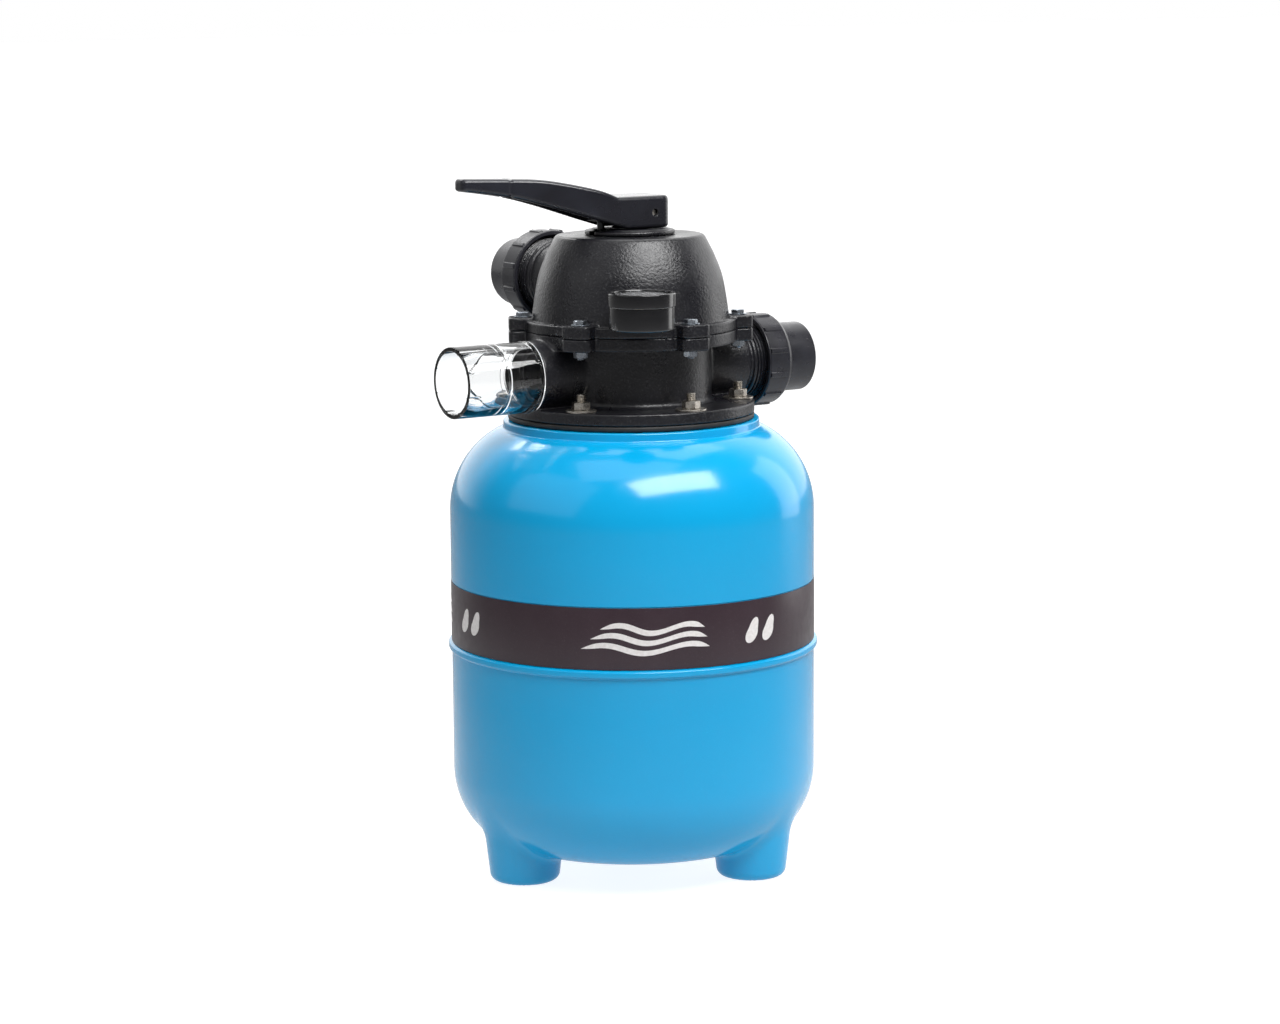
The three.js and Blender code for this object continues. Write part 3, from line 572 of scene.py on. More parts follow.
def tank_bottom(x, y, z):
    r = np.hypot(x, y)
    field = bottom_section(r, z)
    for azimuth in FOOT.azimuths:
        out, across = out_and_across(x, y, azimuth)
        field = join(field, foot_section(np.hypot(out - FOOT.circle, across), z), 6)
    return field


bottom_section = Section(lower_outline(0) + [(TANK, SPLIT + 15), (0, SPLIT + 15)])
foot_section = Section(
    [(0, 0)]
    + arc((FOOT.flat, FOOT.round), (FOOT.radius - FOOT.flat, FOOT.round), -90, 0, 10)
    + [(FOOT_TOP, FOOT_HEIGHT), (0, FOOT_HEIGHT)]
)


def tank_skin():
    """Joins the carved bottom to the turned wall along one clean ring."""
    low, high = limits("tank_shell")
    bottom = carve(tank_bottom, (low.x, low.y, low.z), (high.x, high.y, SPLIT + 8), 2.2)
    points, faces = merged(bottom, upper_tank())
    mesh = bpy.data.meshes.new("tank")
    mesh.from_pydata(points.tolist(), [], faces)
    bm = bmesh.new()
    bm.from_mesh(mesh)
    bm.verts.ensure_lookup_table()
    carved = bm.verts[: len(bottom[0])]
    region = set(carved)
    geometry = carved + [piece for piece in [*bm.edges, *bm.faces] if piece.verts[0] in region]
    bmesh.ops.bisect_plane(bm, geom=geometry, plane_co=(0, 0, SPLIT), plane_no=(0, 0, 1), clear_outer=True)
    bmesh.ops.bridge_loops(bm, edges=[edge for edge in bm.edges if edge.is_boundary])
    bmesh.ops.triangulate(bm, faces=[face for face in bm.faces if len(face.verts) > 4])
    bm.to_mesh(mesh)
    bm.free()
    skin = np.array([v.co for v in mesh.vertices]), [tuple(face.vertices) for face in mesh.polygons]
    bpy.data.meshes.remove(mesh)
    return skin


add("tank_shell_skin", tank_skin(), "tank_blue", ["tank_shell"], sharp=40)


band = annulus(TANK - 0.3, BAND_RADIUS, BAND_LOW, BAND_HIGH, 0, 0.15, TANK_SEGMENTS, 3)
add("label_band_film", band, "band_print", ["label_band"])

# Generic print on the band: three slanted waves and two drops, three times round the tank.
PRINT_RADIUS = BAND_RADIUS + 0.12
PRINT_FIRST, PRINT_STEP, PRINTS = -132, 104, 3
SLANT = 0.35


def wrapped(points, azimuth):
    """Flat (along, up) print points laid on the band, outside first and then just under its surface."""
    middle = (BAND_LOW + BAND_HIGH) / 2
    layers = []
    for radius in (PRINT_RADIUS, BAND_RADIUS - 0.15):
        for along, up in points:
            angle = radians(azimuth) + (along + SLANT * up) / TANK
            layers.append((radius * sin(angle), -radius * cos(angle), middle + up))
    return layers


def slab(points, faces, azimuth):
    """A thin closed piece of print from flat points and the faces between them."""
    count = len(points)
    edges = {edge for face in faces for edge in zip(face, face[1:] + face[:1])}
    rim = [(a, b) for a, b in edges if (b, a) not in edges]
    sides = [(a, b, b + count, a + count) for a, b in rim]
    backs = [tuple(index + count for index in reversed(face)) for face in faces]
    return np.array(wrapped(points, azimuth)), [*faces, *backs, *sides]


def wave(centre, up, length, thick, azimuth, steps=48):
    points, faces = [], []
    for i in range(steps + 1):
        t = i / steps
        along = centre + length * (t - 0.5)
        lift = up + 3.2 * sin(2 * pi * 1.5 * t)
        half = thick / 2 * sin(pi * min(t, 1 - t, 0.12) / 0.24)
        points += [(along, lift - half - 0.05), (along, lift + half + 0.05)]
    for i in range(steps):
        faces.append((2 * i, 2 * i + 2, 2 * i + 3, 2 * i + 1))
    return slab(points, faces, azimuth)


def drop(centre, up, radius, azimuth, steps=36):
    points = [(centre, up)]
    for i in range(steps):
        angle = 2 * pi * i / steps
        reach = radius * (1 + 0.9 * max(0, cos(angle)) ** 6)
        points.append((centre + reach * sin(angle) * 0.86, up + reach * cos(angle)))
    faces = [(0, i + 1, (i + 1) % steps + 1) for i in range(steps)]
    return slab(points, faces, azimuth)


def band_motif():
    marks = []
    for k in range(PRINTS):
        azimuth = PRINT_FIRST + PRINT_STEP * k
        marks += [wave(0, up, 104 - 10 * i, 4.2, azimuth) for i, up in enumerate((-8, 0, 8))]
        marks += [drop(centre, -2.5, 7, azimuth) for centre in (90, 108)]
    return merged(*marks)


add("band_motif", band_motif(), "band_print", [], look="print_white")

# ---- valve body and lid


def port_section(start, shift):
    """Half section of a threaded port without its thread."""
    end = PORT.end + shift
    return Section(rounded([
        (0, start), (PORT.neck, start), (PORT.neck, PORT.shoulder + shift, 0.8),
        (PORT.neck - 1, PORT.shoulder + 1 + shift, 0.5),
        (PORT.neck - 1, PORT.thread - 0.6 + shift, 0.5),
        (PORT.root, PORT.thread + 0.6 + shift, 0.5), (PORT.root, end, 0.8), (0, end),
    ]))


def thread(root, crest, start, end, pitch, segments=72):
    """A ridge wound round Z, fading in and out at its ends."""
    turns = (end - start) / pitch
    count = int(turns * segments)
    rings = []
    for i in range(count + 1):
        angle = 2 * pi * i / segments
        z = start + pitch * i / segments
        fade = min(1, i / 12, (count - i) / 12)
        top = root - 0.3 + (crest - root + 0.3) * fade
        profile = ((root - 0.5, -0.42), (top, -0.12), (top, 0.12), (root - 0.5, 0.42))
        rings.append([(r * cos(angle), r * sin(angle), z + lift * pitch) for r, lift in profile])
    return skinned(rings)


def port_thread(azimuth, z, shift):
    start, end = PORT.thread + 2 + shift, PORT.end - 2 + shift
    return outward(thread(PORT.root, PORT.crest, start, end, 3.0), azimuth, z)


def ear(x, y, z, low, high):
    """Square-ended ear that carries one lid bolt, at each of the six directions."""
    out, across = sector(x, y)
    plan = meet(between(out, BODY.radius - 4, EAR.reach), np.abs(across) - EAR.half, 5)
    return meet(plan, between(z, low, high), 1.1)


body_section = Section(rounded([
    (0, BODY_LOW), (65.5, BODY_LOW, 1), (65.5, FLANGE.z, 0.8), (FLANGE.radius, FLANGE.z, 1.0),
    (FLANGE.radius, FLANGE.top, 1.3), (BODY.radius, FLANGE.top, 5), (BODY.radius, BODY.rim, 2),
    (BODY.rim_radius, BODY.rim, 1.0), (BODY.rim_radius, BODY_TOP, 0.5), (0, BODY_TOP),
]))
return_section = port_section(50, 0)
waste_section = Section(rounded([(0, 50), (PORT.neck, 50), (PORT.neck, 99.6, 0.8), (0, 99.6)]))


def partitions(x, y, z):
    """Hub tube over the standpipe, the floor with its two windows, and six webs."""
    r = np.hypot(x, y)
    out, across = sector(x, y)
    tube_field = meet(r - 29.5, between(z, 354, BODY.deck))
    plate = between(z, BODY.floor, BODY.floor + 4)
    for azimuth in (30, 210):
        ahead, aside = out_and_across(x, y, azimuth)
        plate = cut(plate, meet(between(ahead, 35, 57), np.abs(aside) - 13), 0.5)
    webs = meet(meet(np.abs(across) - 1.6, out - 63), between(z, BODY.floor, BODY.deck), 0.5)
    return join(join(tube_field, plate, 1), webs, 1)


def valve_body(x, y, z):
    r = np.hypot(x, y)
    field = join(body_section(r, z), ear(x, y, z, BODY.rim, BODY_TOP), 1.2)
    out, across = out_and_across(x, y, RETURN)
    pipe = np.hypot(across, z - PORT_Z)
    field = join(field, return_section(pipe, out), 3.5)
    field = join(field, waste_section(pipe, -out), 3.5)
    field = cut(field, r - BODY.cavity, 0.8)
    field = join(field, meet(partitions(x, y, z), r - BODY.cavity - 2, 0.1), 1)
    field = cut(field, meet(r - 25.3, z - 384.3, 0.3), 0.4)
    field = cut(field, r - PIPE_BORE, 0.6)
    field = cut(field, meet(pipe - PORT.bore, 50 - np.abs(out), 0.3), 0.8)
    return cut(field, meet(pipe - 26.2, out + 89.8, 0.3), 0.3)


dome = spline([(81, LID_RIM), (77.8, 478), (74.6, 493), (69, 507.6), (64.4, 517)])
rim, mouth = BODY.rim_radius, BODY.radius
lid_section = Section(
    rounded([(0, LID_LOW), (rim, LID_LOW, 0.5), (rim, LID_RIM, 1.0), (81.6, LID_RIM)])
    + dome
    + rounded([dome[-1], (60.4, LID_TOP, 4.5), (0, LID_TOP)], 10)[1:]
)
lid_inside = Section(
    [(0, LID_LOW - 3), (mouth, LID_LOW - 3), (mouth, LID_LOW + 1), (mouth + 8, LID_RIM)]
    + [(r - 5, z - 4) for r, z in dome]
    + [(0, LID_TOP - 5)]
)
pump_section = port_section(60, PUMP_REACH)


def valve_lid(x, y, z):
    r = np.hypot(x, y)
    field = join(lid_section(r, z), ear(x, y, z, LID_LOW, LID_EAR), 1.2)
    out, across = out_and_across(x, y, PUMP)
    pipe = np.hypot(across, z - PUMP_Z)
    field = join(field, pump_section(pipe, out), 3.5)
    out_gauge, across_gauge = out_and_across(x, y, GAUGE.azimuth)
    stem = np.hypot(across_gauge, z - GAUGE.stem_z)
    field = join(field, meet(stem - 9, between(out_gauge, 64, 83)), 3)
    field = cut(field, lid_inside(r, z), 0.8)
    field = cut(field, meet(pipe - PORT.bore, 55 - out, 0.3), 0.8)
    field = cut(field, meet(stem - 4.3, 60 - out_gauge, 0.3), 0.3)
    field = cut(field, meet(r - 15.3, LID_RIM - z, 0.3), 0.3)
    return cut(field, meet(r - 18.7, LID_TOP - 3.8 - z, 0.3), 0.4)


VALVE_VOXEL = 1.1
WIDE = 101.5
body_shape = carve(valve_body, (-101, -WIDE, BODY_LOW), (PORT.end, WIDE, BODY_TOP), VALVE_VOXEL)
lid_corner = (WIDE, PORT.end + PUMP_REACH, LID_TOP)
lid_shape = carve(valve_lid, (-WIDE, -WIDE, LID_LOW), lid_corner, VALVE_VOXEL)
body_shape = merged(body_shape, port_thread(RETURN, PORT_Z, 0))
lid_shape = merged(lid_shape, port_thread(PUMP, PUMP_Z, PUMP_REACH))
add("valve_body_moulding", body_shape, "valve_black", ["valve_body"], sharp=60)
add("valve_lid_moulding", lid_shape, "valve_black", ["valve_lid"], sharp=60)


low, high = limits("flange_gasket")
gasket = annulus(NECK.bore + 0.5, high.x, low.z, high.z, 0, 1.7, 160)
add("flange_gasket_ring", gasket, "seal_rubber", ["flange_gasket"])

# ---- handle, disc, stem and pin

HANDLE_WALL = 3.6
HEEL, TIP = -26.6, 162
arm_top = [(24, 556.5), (43, 563.4), (85, 571.9), (118, 574.2), (158, 575.6)]
arm_under = [(162, 565.8), (120, 559.4), (85, 550.8), (43, 538.4), (14.9, 530.2)]
BLOCK_LOW, BLOCK_TOP = 530.2, 556.5


def handle_side(drop):
    """Side view of the handle, (distance towards the tip, height), with its underside lowered."""
    return Section(
        rounded([(HEEL, BLOCK_LOW - drop), (HEEL, BLOCK_TOP, 3), (20, BLOCK_TOP)])
        + spline(arm_top, 6)
        + rounded([(158, 575.6), (TIP, 575.4, 3), (TIP, 565.8 - drop, 1.5), (158, 565 - drop)])[1:-1]
        + [(s, z - drop) for s, z in spline(arm_under, 6)[1:]]
    )


HALF = 22.5
half_plan = [(TIP, 4), (159, 8), (150, 9), (120, 10.5), (85, 14.5), (43, 20.5), (24, HALF)]
plan_edge = spline(half_plan, 5)
handle_plan = Section(
    rounded([(24, -HALF), (HEEL, -HALF, 8), (HEEL, HALF, 8), (24, HALF)])[1:-1]
    + plan_edge[::-1]
    + [(s, -w) for s, w in plan_edge]
)
handle_outer, handle_roof = handle_side(0), handle_side(25)


def lever(x, y, z):
    s = -x
    plan = handle_plan(s, y)
    field = meet(handle_outer(s, z), plan, 3.6)
    groove = meet(np.abs(s - 118) - 1.4, -(field + 0.9), 0.3)
    hollow = meet(meet(handle_roof(s, z) + HANDLE_WALL, plan + HANDLE_WALL, 1.5), s - 128, 1.5)
    solid = field
    field = cut(cut(field, hollow, 0.5), groove, 0.3)
    pivot = np.hypot(x - PIN.x, z - PIN.z)
    cheeks = meet(meet(pivot - 6.5, 6.9 - np.abs(y), 0.4), solid + 1.5, 0.4)
    finger = meet(np.hypot(s - 28, y) - 3, between(z, 528.5, 541), 0.6)
    rib = meet(meet(np.abs(s - 30) - 1.3, solid + 1, 0.4), 536 - z, 0.4)
    field = join(join(join(field, cheeks, 0.6), finger, 0.6), rib, 0.6)
    return cut(field, np.maximum(pivot - 2.8, pivot - 3.8 - (HALF - 0.6 - np.abs(y)) * 2), 0.3)


add(
    "handle_moulding",
    carve(lever, (-TIP, -HALF, 528), (27, HALF, 576), 0.85),
    "handle_grey",
    ["handle"],
    body="lever",
    sharp=60,
)

disc_low, disc_high = limits("thrust_disc")
disc_section = Section(rounded([
    (15.3, disc_low.z, 0.4), (disc_high.x, disc_low.z, 1.0), (disc_high.x, 528.4, 1.2),
    (32, 528.4, 0.6), (31, disc_high.z, 0.8), (15.3, disc_high.z, 0.4),
]))


def thrust_disc(x, y, z):
    slot = meet(between(x, -40.5, -20.5), np.abs(y) - 3.6, 1)
    return cut(disc_section(np.hypot(x, y), z), slot, 0.5)


disc_shape = carve(thrust_disc, tuple(disc_low), tuple(disc_high), 0.8)
add("thrust_disc_moulding", disc_shape, "valve_black", ["thrust_disc"], body="turntable", sharp=60)

stem_low, stem_high = limits("valve_stem")
stem_section = Section(rounded([
    (0, stem_low.z), (22, stem_low.z, 0.8), (22, stem_low.z + 4, 0.8), (15, stem_low.z + 4, 1.5),
    (15, stem_high.z, 1.2), (0, stem_high.z),
]))


def valve_stem(x, y, z):
    keep = np.maximum(np.abs(y) - 6.6, -8 - x)
    field = meet(stem_section(np.hypot(x, y), z), np.minimum(keep, z - 531), 0.6)
    return cut(field, np.hypot(x - PIN.x, z - PIN.z) - 2.8, 0.3)


stem_shape = carve(valve_stem, tuple(stem_low), tuple(stem_high), 1.0)
add("valve_stem_moulding", stem_shape, "handle_grey", ["valve_stem"], body="stem", sharp=60)


def across_y(shape, x, z):
    """Lays an upright shape along Y."""
    return moved(shape, Matrix.Translation((x, 0, z)) @ Matrix.Rotation(pi / 2, 4, "X"))


half = limits("handle_pin")[1].y
pin = disc(PIN.radius, -half, half, 0.5, 32, 3)
add("handle_pin_rod", across_y(pin, PIN.x, PIN.z), "stainless_steel", ["handle_pin"], body="stem")

# ---- sight glass and unions


def sight_glass():
    outer, bore, stop, spigot = 28.75, 25.25, 24.2, 25.9
    shoulder = 99.8
    outline = rounded([
        (spigot - 1.5, 90.5, 0.4), (spigot, 90.5, 0.4), (spigot, shoulder, 0.3),
        (outer + 0.6, shoulder, 0.5), (outer + 0.6, 103.2, 0.5), (outer, 103.8, 0.4),
        (outer, GLASS_END, 0.6), (bore, GLASS_END, 0.5), (bore, GLASS_END - 12), (bore, 132, 0.3),
        (stop, 131.4, 0.3), (stop, 129.6, 0.3), (bore - 0.5, 129, 0.3), (bore - 0.5, shoulder + 4),
        (spigot - 1.5, shoulder),
    ], 4)

    def crush_ribs(angle, radius, z):
        """Eight small ribs inside the open end."""
        turn = (angle * 8 / (2 * pi)) % 1
        near = max(0, 1 - abs(turn - 0.5) / 0.022)
        lifted = radius < outer - 1 and z > GLASS_END - 3
        return radius - (0.7 * near if lifted else 0), z

    return outward(lathe(outline, 192, crush_ribs), WASTE, PORT_Z)


add("sight_glass_tube", sight_glass(), "clear_tube", ["sight_glass"])


def union_nut(azimuth, z, shift):
    face, end, radius = NUT_FACE + shift, NUT_END + shift, NUT_RADIUS
    outline = rounded([
        (PORT.crest + 0.3, face + 3.0, 0.4), (34.6, face, 0.5), (radius - 0.5, face, 0.6),
        (radius, face + 1.0, 0.3),
    ], 3)
    outline += [(radius, face + 1.3), (radius, face + 1.7), (radius, end - 6.2), (radius, end - 5.8)]
    outline += rounded([
        (radius, end - 5.5), (radius, end - 3.6, 1.5), (radius - 2.4, end, 1.0),
        (TAIL.radius + 0.4, end, 0.5), (TAIL.radius + 0.4, face + NUT_LIP, 0.3),
        (PORT.crest + 0.3, face + NUT_LIP, 0.3),
    ], 5)[1:]

    def ribs(angle, r, height):
        turn = (angle * RIBS / (2 * pi)) % 1
        off = abs(turn - 0.5) * 2 * pi * radius / RIBS
        rise = RIB * min(1, max(0, (2.2 - off) / 0.7))
        raised = face + 1.6 < height < end - 6 and r > radius - 0.1
        return r + (rise if raised else 0), height

    return outward(lathe(outline, 480, ribs), azimuth, z)


def union_tail(node, azimuth, z, shift):
    high = limits(node)[1]
    end = high.x if azimuth == RETURN else high.y
    start, stop = PORT.end + 0.3 + shift, 136 + shift
    lip = NUT_FACE + shift + NUT_LIP - 0.3
    return outward(turned([
        (TAIL.bore, start, 0.4), (TAIL.collar, start, 0.4), (TAIL.collar, lip, 0.4),
        (TAIL.radius, lip, 0.4), (TAIL.radius, end, 0.8), (TAIL.socket + 0.6, end, 0.3),
        (TAIL.socket, end - 1.5, 0.4), (TAIL.socket, stop, 0.4), (TAIL.bore, stop, 0.4),
    ], 144, 5), azimuth, z)


def o_ring(radius, section, z, segments=96):
    return lathe(arc((radius, z), (section, section), 0, 348, 29)[:-1], segments)


for name, azimuth, z, shift in (("return", RETURN, PORT_Z, 0), ("pump", PUMP, PUMP_Z, PUMP_REACH)):
    nut, tail, ring = f"{name}_nut", f"{name}_tail", f"{name}_oring"
    add(f"{nut}_moulding", union_nut(azimuth, z, shift), "fitting_black", [nut], body=f"{name}_union_nut")
    add(f"{tail}_moulding", union_tail(tail, azimuth, z, shift), "fitting_black", [tail])
    seat = PORT.end - 1.2 + shift
    add(f"{ring}_ring", outward(o_ring(26.2, 1.3, seat), azimuth, z), "seal_rubber", [ring])

add("lid_oring_ring", o_ring(70.5, 1.4, BODY_TOP - 1.3, 160), "seal_rubber", ["lid_oring"])
add("stem_seal_ring", o_ring(17, 1.4, LID_TOP - 2), "seal_rubber", ["stem_seal"])

# ---- pressure gauge


def on_gauge(shape):
    return placed(shape, GAUGE.azimuth, GAUGE.circle)


case_low, case_high = limits("gauge_case")
bezel_low, bezel_high = limits("gauge_bezel")
lens_low, lens_high = limits("gauge_lens")
dial_low, dial_high = limits("gauge_dial")
needle_low, needle_high = limits("gauge_needle")
CASE = GAUGE.radius - 1


gauge_case = turned([
    (0, case_low.z + 0.4), (CASE - 5, case_low.z + 0.4, 0.5), (CASE - 4, case_low.z, 0.5),
    (CASE, case_low.z, 2.2), (CASE, case_high.z, 0.3), (CASE - 1.6, case_high.z, 0.3),
    (CASE - 1.6, case_low.z + 1.6, 1), (0, case_low.z + 1.6),
], 128, 5)
gauge_bezel = turned([
    (GAUGE.radius - 1.7, bezel_low.z, 0.2), (GAUGE.radius, bezel_low.z, 0.5),
    (GAUGE.radius, bezel_high.z, 1.1), (GAUGE.radius - 3, bezel_high.z, 0.6),
    (GAUGE.radius - 3.6, lens_high.z + 0.3, 0.2), (GAUGE.radius - 1.7, lens_high.z + 0.3, 0.2),
], 128, 5)
lens_edge = [(0, lens_low.z), (24.6, lens_low.z), (25, lens_low.z + 0.4), (25, lens_high.z - 0.2)]
lens_crown = [(r, lens_high.z - 0.2 + 1.7 * (1 - (r / 24.6) ** 2)) for r in np.linspace(22.5, 0, 10)]
gauge_lens = lathe(lens_edge + lens_crown, 128)
gauge_dial = disc(23.7, dial_low.z, dial_high.z, 0.2, 96)

add("gauge_case_moulding", on_gauge(gauge_case), "gauge_black", ["gauge_case"])
add("gauge_bezel_ring", on_gauge(gauge_bezel), "gauge_black", ["gauge_bezel"])
add("gauge_lens_window", on_gauge(gauge_lens), "gauge_window", ["gauge_lens"])
add("gauge_dial_plate", on_gauge(gauge_dial), "dial_white", ["gauge_dial"])

DIAL_ZERO, DIAL_SWEEP = -135, 270  # the scale's ends, clockwise from twelve o'clock
DIVISIONS = 20


def plate(corners, low, high):
    """A flat prism from (x, y) corners."""
    return skinned([[(x, y, z) for x, y in corners] for z in (low, high)])


def dial_ticks():
    top = dial_high.z
    marks = []
    for i in range(DIVISIONS + 1):
        major = i % 5 == 0
        angle = radians(DIAL_ZERO + DIAL_SWEEP * i / DIVISIONS)
        inner, half = (17.5, 0.45) if major else (19.6, 0.2)
        mark = plate([(-half, inner), (half, inner), (half, 22), (-half, 22)], top - 0.2, top + 0.06)
        marks.append(moved(mark, Matrix.Rotation(-angle, 4, "Z")))
    return merged(*marks)


def dial_number(text, angle):
    """Outline figures for the scale, turned into a mesh."""
    curve = bpy.data.curves.new(f"dial_number_{text}", "FONT")
    curve.body = text
    curve.size = 5.2
    curve.extrude = 0.03
    curve.align_x = "CENTER"
    curve.align_y = "CENTER"
    holder = bpy.data.objects.new(curve.name, curve)
    bpy.context.scene.collection.objects.link(holder)
    bpy.context.view_layer.update()
    flat = bpy.data.meshes.new_from_object(holder)
    bpy.data.objects.remove(holder)
    points = np.array([v.co for v in flat.vertices])
    points += (13.8 * sin(angle), 13.8 * cos(angle), dial_high.z + 0.03)
    return points, [tuple(p.vertices) for p in flat.polygons]


numbers = [dial_number(str(i), radians(DIAL_ZERO + DIAL_SWEEP * i / 4)) for i in range(5)]
add("dial_marks", on_gauge(merged(dial_ticks(), *numbers)), "needle_black", [])


def gauge_needle():
    middle = (needle_low.z + needle_high.z) / 2
    blade = plate([(-1.1, 5), (1.1, 5), (0.45, -17), (0, -17.6), (-0.45, -17)], middle - 0.45, middle + 0.1)
    return merged(blade, disc(2.6, needle_low.z, needle_high.z, 0.5))


add("gauge_needle_pointer", on_gauge(gauge_needle()), "needle_black", ["gauge_needle"], body="needle")


def hexed(width, low, high):
    """Gives the widest rings of a turned outline a hexagon's corners, chamfered at top and bottom."""
    chamfer = 0.475 * width

    def swell(angle, radius, z):
        if radius < 0.49 * width:
            return radius, z
        corner = (angle + radians(30)) % radians(60) - radians(30)
        across = 0.5 * width / cos(radians(30) - abs(corner))
        fall = (across - chamfer) * tan(radians(30))
        return across, z + fall if z < (low + high) / 2 else z - fall

    return swell


def hexagon(width, low, high, hole=0.0):
    chamfer = 0.475 * width
    inner = [(hole, low + 0.4), (hole + 0.4, low)] if hole else [(0, low)]
    outer = [(hole + 0.4, high), (hole, high - 0.4)] if hole else [(0, high)]
    outline = [*inner, (chamfer, low), (0.5 * width, low), (0.5 * width, high), (chamfer, high), *outer]
    return lathe(outline, 48, hexed(width, low, high))


def rod(radius, low, high, pitch=0.0, threaded_from=None):
    """A round bar with chamfered ends and thread grooves from one height up to its top."""
    depth = 0.55 * pitch
    outline = [(0, low), (radius - 0.5, low), (radius, low + 0.5)]
    if pitch:
        z = threaded_from
        while z + pitch < high - 0.6:
            outline += [(radius, z), (radius - depth, z + 0.45 * pitch), (radius - depth, z + 0.55 * pitch)]
            z += pitch
    outline += [(radius, high - 0.6), (radius - 0.6, high), (0, high)]
    return lathe(outline, 32)


def gauge_stem():
    start, end = 83.3, GAUGE.circle - GAUGE.radius + 0.7
    thin = disc(4, 72, end + 4, 0.3, 40, 3)
    return outward(merged(thin, hexagon(9, start, end)), GAUGE.azimuth, GAUGE.stem_z)


add("gauge_stem_fitting", gauge_stem(), "brass", ["gauge_stem"], sharp=25)

# ---- fasteners


def washer(outer, hole, low, high):
    edge = min(0.35, (high - low) / 3)
    return annulus(hole, outer, low, high, edge, edge, 64, 3)


def fasten(name, shape, number, slot, nodes, turn=0):
    """Stands a fastener on the bolt circle, turned by its number so that no two sit alike."""
    spun = moved(shape, Matrix.Rotation(radians(turn * number), 4, "Z"))
    add(name, placed(spun, BOLTS[number], BOLT_CIRCLE), slot, nodes, sharp=25)


def tank_fasteners(number):
    """Stud, nut and washer that hold the valve to the tank."""
    stud, nut = f"tank_stud_{number}", f"tank_nut_{number}"
    low, high = limits(nut)
    bottom, top = limits(stud)
    steel = "stainless_steel"
    fasten(f"{stud}_rod", rod(4, bottom.z, top.z, 1.25, high.z - 1), number, steel, [stud])
    fasten(f"{nut}_hex", hexagon(13, low.z, high.z, 4.1), number, steel, [nut], 11)
    ring = washer(12.5, 4.2, FLANGE.top + LIFT, low.z - LIFT)
    fasten(f"tank_washer_{number}", ring, number, steel, [])


def lid_fasteners(number):
    """Bolt, washer and nut at an ear. Below the pump port the bolt screws up into the lid instead."""
    bolt, nut = f"lid_bolt_{number}", f"lid_nut_{number}"
    bottom, top = limits(bolt)
    zinc = "zinc_plated_steel"
    if BOLTS[number] == PUMP:
        head = hexagon(10, bottom.z, bottom.z + BOLT_HEAD)
        shape = merged(head, rod(3, bottom.z + 1, top.z))
        fasten(f"{bolt}_hex", shape, number, zinc, [bolt], 7)
        return
    head = hexagon(10, top.z - BOLT_HEAD, top.z)
    shape = merged(head, rod(3, bottom.z, top.z - 1, 1.0, bottom.z + 0.7))
    fasten(f"{bolt}_hex", shape, number, zinc, [bolt], 17)
    ring = washer(7.5, 3.2, LID_EAR + LIFT, top.z - BOLT_HEAD - LIFT)
    fasten(f"lid_washer_{number}", ring, number, zinc, [])
    low, high = limits(nut)
    fasten(f"{nut}_hex", hexagon(10, low.z, high.z, 3.1), number, zinc, [nut], 23)


for number in BOLTS:
    tank_fasteners(number)
    lid_fasteners(number)

# ---- pieces inside


def lateral(azimuth):
    """Collector arm with the fine slits that let water in and keep the sand out."""
    length, radius, seat = 110, 10, 34.3
    outline = [(0, 27), (7, 27), (7, seat), (radius, seat)]
    slit = seat + 6
    while slit < length - 10:
        outline += [(radius, slit), (radius - 1.2, slit), (radius - 1.2, slit + 0.6), (radius, slit + 0.6)]
        slit += 3
    outline += [(radius, length - 4), (radius - 1.2, length - 1.2), (radius - 4, length), (0, length)]
    return outward(lathe(outline, 40), azimuth, 45)


def rotor_spring():
    low, high = limits("rotor_spring")
    wire, turns, radius = 1.8, 5, 20.2
    start, end = low.z + wire, high.z - wire
    path = []
    for t in np.linspace(0, 1, turns * 40 + 1):
        angle = 2 * pi * turns * t
        path.append((radius * cos(angle), radius * sin(angle), start + (end - start) * t))
    return tube(path, wire, 14)


low, high = limits("standpipe")
pipe_corners = [(PIPE_BORE, low.z, 0.5), (25, low.z, 0.5), (25, high.z, 0.8), (PIPE_BORE, high.z, 0.5)]
add("standpipe_tube", turned(pipe_corners, 96, 4), "inner_white", ["standpipe"])
coil = add("rotor_spring_coil", rotor_spring(), "spring_steel", ["rotor_spring"])
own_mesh(coil)
for number in range(1, 7):
    arm = f"lateral_{number}"
    add(f"{arm}_arm", lateral(60 * (number - 1)), "inner_white", [arm])

slots = {row["node"]: row["material_slot"] for row in frame["record"]["subparts"]}
for name, node in frame["nodes"].items():
    node.data.materials.clear()
    node.data.materials.append(MATERIALS[slots[name]])

# ---- floor, light and camera


FLOOR = 30000  # half its width
SEEN_GLOW = 0.87
POOL = (0.5, 0.08, 0.3, 0.9)  # glow inside and outside, and the radii in metres between which it fades


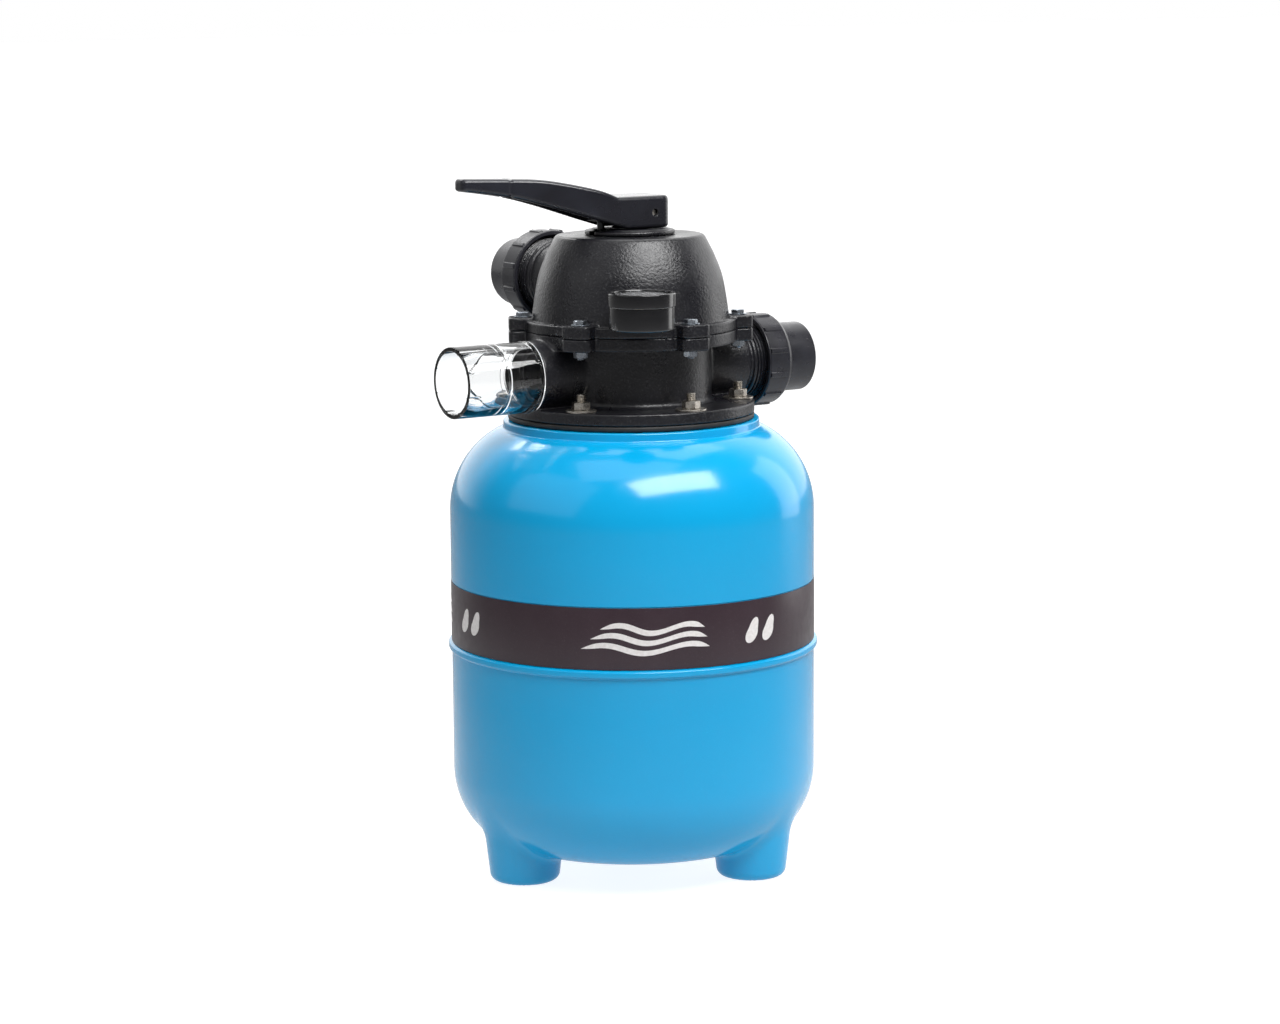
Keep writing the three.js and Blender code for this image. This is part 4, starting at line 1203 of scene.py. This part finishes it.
def floor():
    """A wide pale floor that the eye sees evenly white. As a light it is a pool round the filter."""
    corners = [(-FLOOR, -FLOOR, 0), (FLOOR, -FLOOR, 0), (FLOOR, FLOOR, 0), (-FLOOR, FLOOR, 0)]
    mesh = mesh_of("floor", (np.array(corners, float), [(0, 1, 2, 3)]))
    piece = bpy.data.objects.new("floor", mesh)
    bpy.context.scene.collection.objects.link(piece)
    finish = Finish("floor", (0.32, 0.32, 0.32), Emission_Color=(1, 1, 1, 1))
    finish.tint((3, 3), (0.30, 0.30, 0.305)).rough((20, 3), 0.55, 0.65)
    ray = finish.add("LightPath").outputs
    seen_by = {0: ray["Is Camera Ray"], 1: ray["Is Transmission Ray"]}
    seen = finish.add("Math", seen_by, operation="MAXIMUM").outputs["Value"]
    reach = finish.add("VectorMath", {0: finish.place}, operation="LENGTH").outputs["Value"]
    glows = {0: finish.spread(seen, 0, SEEN_GLOW, 0, 1), 1: finish.spread(reach, *POOL)}
    glow = finish.add("Math", glows, operation="MAXIMUM").outputs["Value"]
    finish.tree.links.new(glow, finish.shader.inputs["Emission Strength"])
    piece.data.materials.append(finish.material)


VIEW_AZIMUTH = radians(-33)
middle = Vector((0, AXIS_Y, 0.30))


def area_light(name, azimuth, elevation, distance, size, power):
    """A soft box that looks at the filter. Its azimuth is measured from the camera's, to the right."""
    a, e = VIEW_AZIMUTH + radians(azimuth), radians(elevation)
    data = bpy.data.lights.new(name, "AREA")
    data.shape = "RECTANGLE"
    data.size, data.size_y = size
    data.energy = power
    light = bpy.data.objects.new(name, data)
    direction = Vector((sin(a) * cos(e), -cos(a) * cos(e), sin(e)))
    light.location = middle + distance * direction
    light.rotation_euler = direction.to_track_quat("Z", "Y").to_euler()
    bpy.context.scene.collection.objects.link(light)


def world():
    """White all round to the eye. As a light it is dim on the camera's side, like a studio's dark end."""
    sky = bpy.data.worlds.new("studio")
    sky.use_nodes = True
    tree = sky.node_tree
    toward_camera = (sin(VIEW_AZIMUTH), -cos(VIEW_AZIMUTH), 0)
    place = add_node(tree, "TexCoord").outputs["Generated"]
    axes = {0: place, 1: toward_camera}
    facing = add_node(tree, "VectorMath", axes, operation="DOT_PRODUCT").outputs["Value"]
    fade = {"Value": facing, "From Min": -0.85, "From Max": -0.25, "To Min": 1.6, "To Max": 0.15}
    strength = add_node(tree, "MapRange", fade, interpolation_type="SMOOTHSTEP").outputs["Result"]
    white = {"Color": (1, 1, 1, 1)}
    lit = add_node(tree, "Background", white | {"Strength": strength}).outputs["Background"]
    seen = add_node(tree, "Background", white | {"Strength": 1.0}).outputs["Background"]
    by_eye = add_node(tree, "LightPath").outputs["Is Camera Ray"]
    mix = add_node(tree, "MixShader", {"Fac": by_eye, 1: lit, 2: seen}).outputs["Shader"]
    tree.links.new(mix, tree.nodes["World Output"].inputs["Surface"])
    bpy.context.scene.world = sky


def camera():
    """Long lens at a little above the valve, tilted down, with the slight lean of a hand-held shot."""
    distance, height = 2.901, 0.7446
    pitch, yaw, roll = radians(8.81), radians(-0.13), radians(-0.44)
    data = bpy.data.cameras.new("camera")
    data.sensor_width = 36
    data.lens = 100
    data.clip_end = 200
    view = bpy.data.objects.new("camera", data)
    view.matrix_world = (
        Matrix.Translation((0, AXIS_Y, 0))
        @ Matrix.Rotation(VIEW_AZIMUTH, 4, "Z")
        @ Matrix.Translation((0, -distance, height))
        @ Matrix.Rotation(yaw, 4, "Z")
        @ Matrix.Rotation(pi / 2 - pitch, 4, "X")
        @ Matrix.Rotation(roll, 4, "Z")
    )
    bpy.context.scene.collection.objects.link(view)
    bpy.context.scene.camera = view


floor()
world()
camera()
area_light("key", 36, 50, 2.2, (1.9, 0.8), 58)
area_light("front_top", -8, 72, 2.2, (1.8, 1.2), 9)
area_light("left", -146, 45, 2.0, (0.5, 0.5), 6)
area_light("left_fill", -60, 32, 2.6, (2.4, 2.0), 9)
area_light("right_rim", 116, 15, 2.0, (0.8, 1.6), 7)
area_light("back_top", 165, 70, 2.2, (1.6, 1.2), 12)
bpy.context.scene.view_settings.view_transform = "Standard"
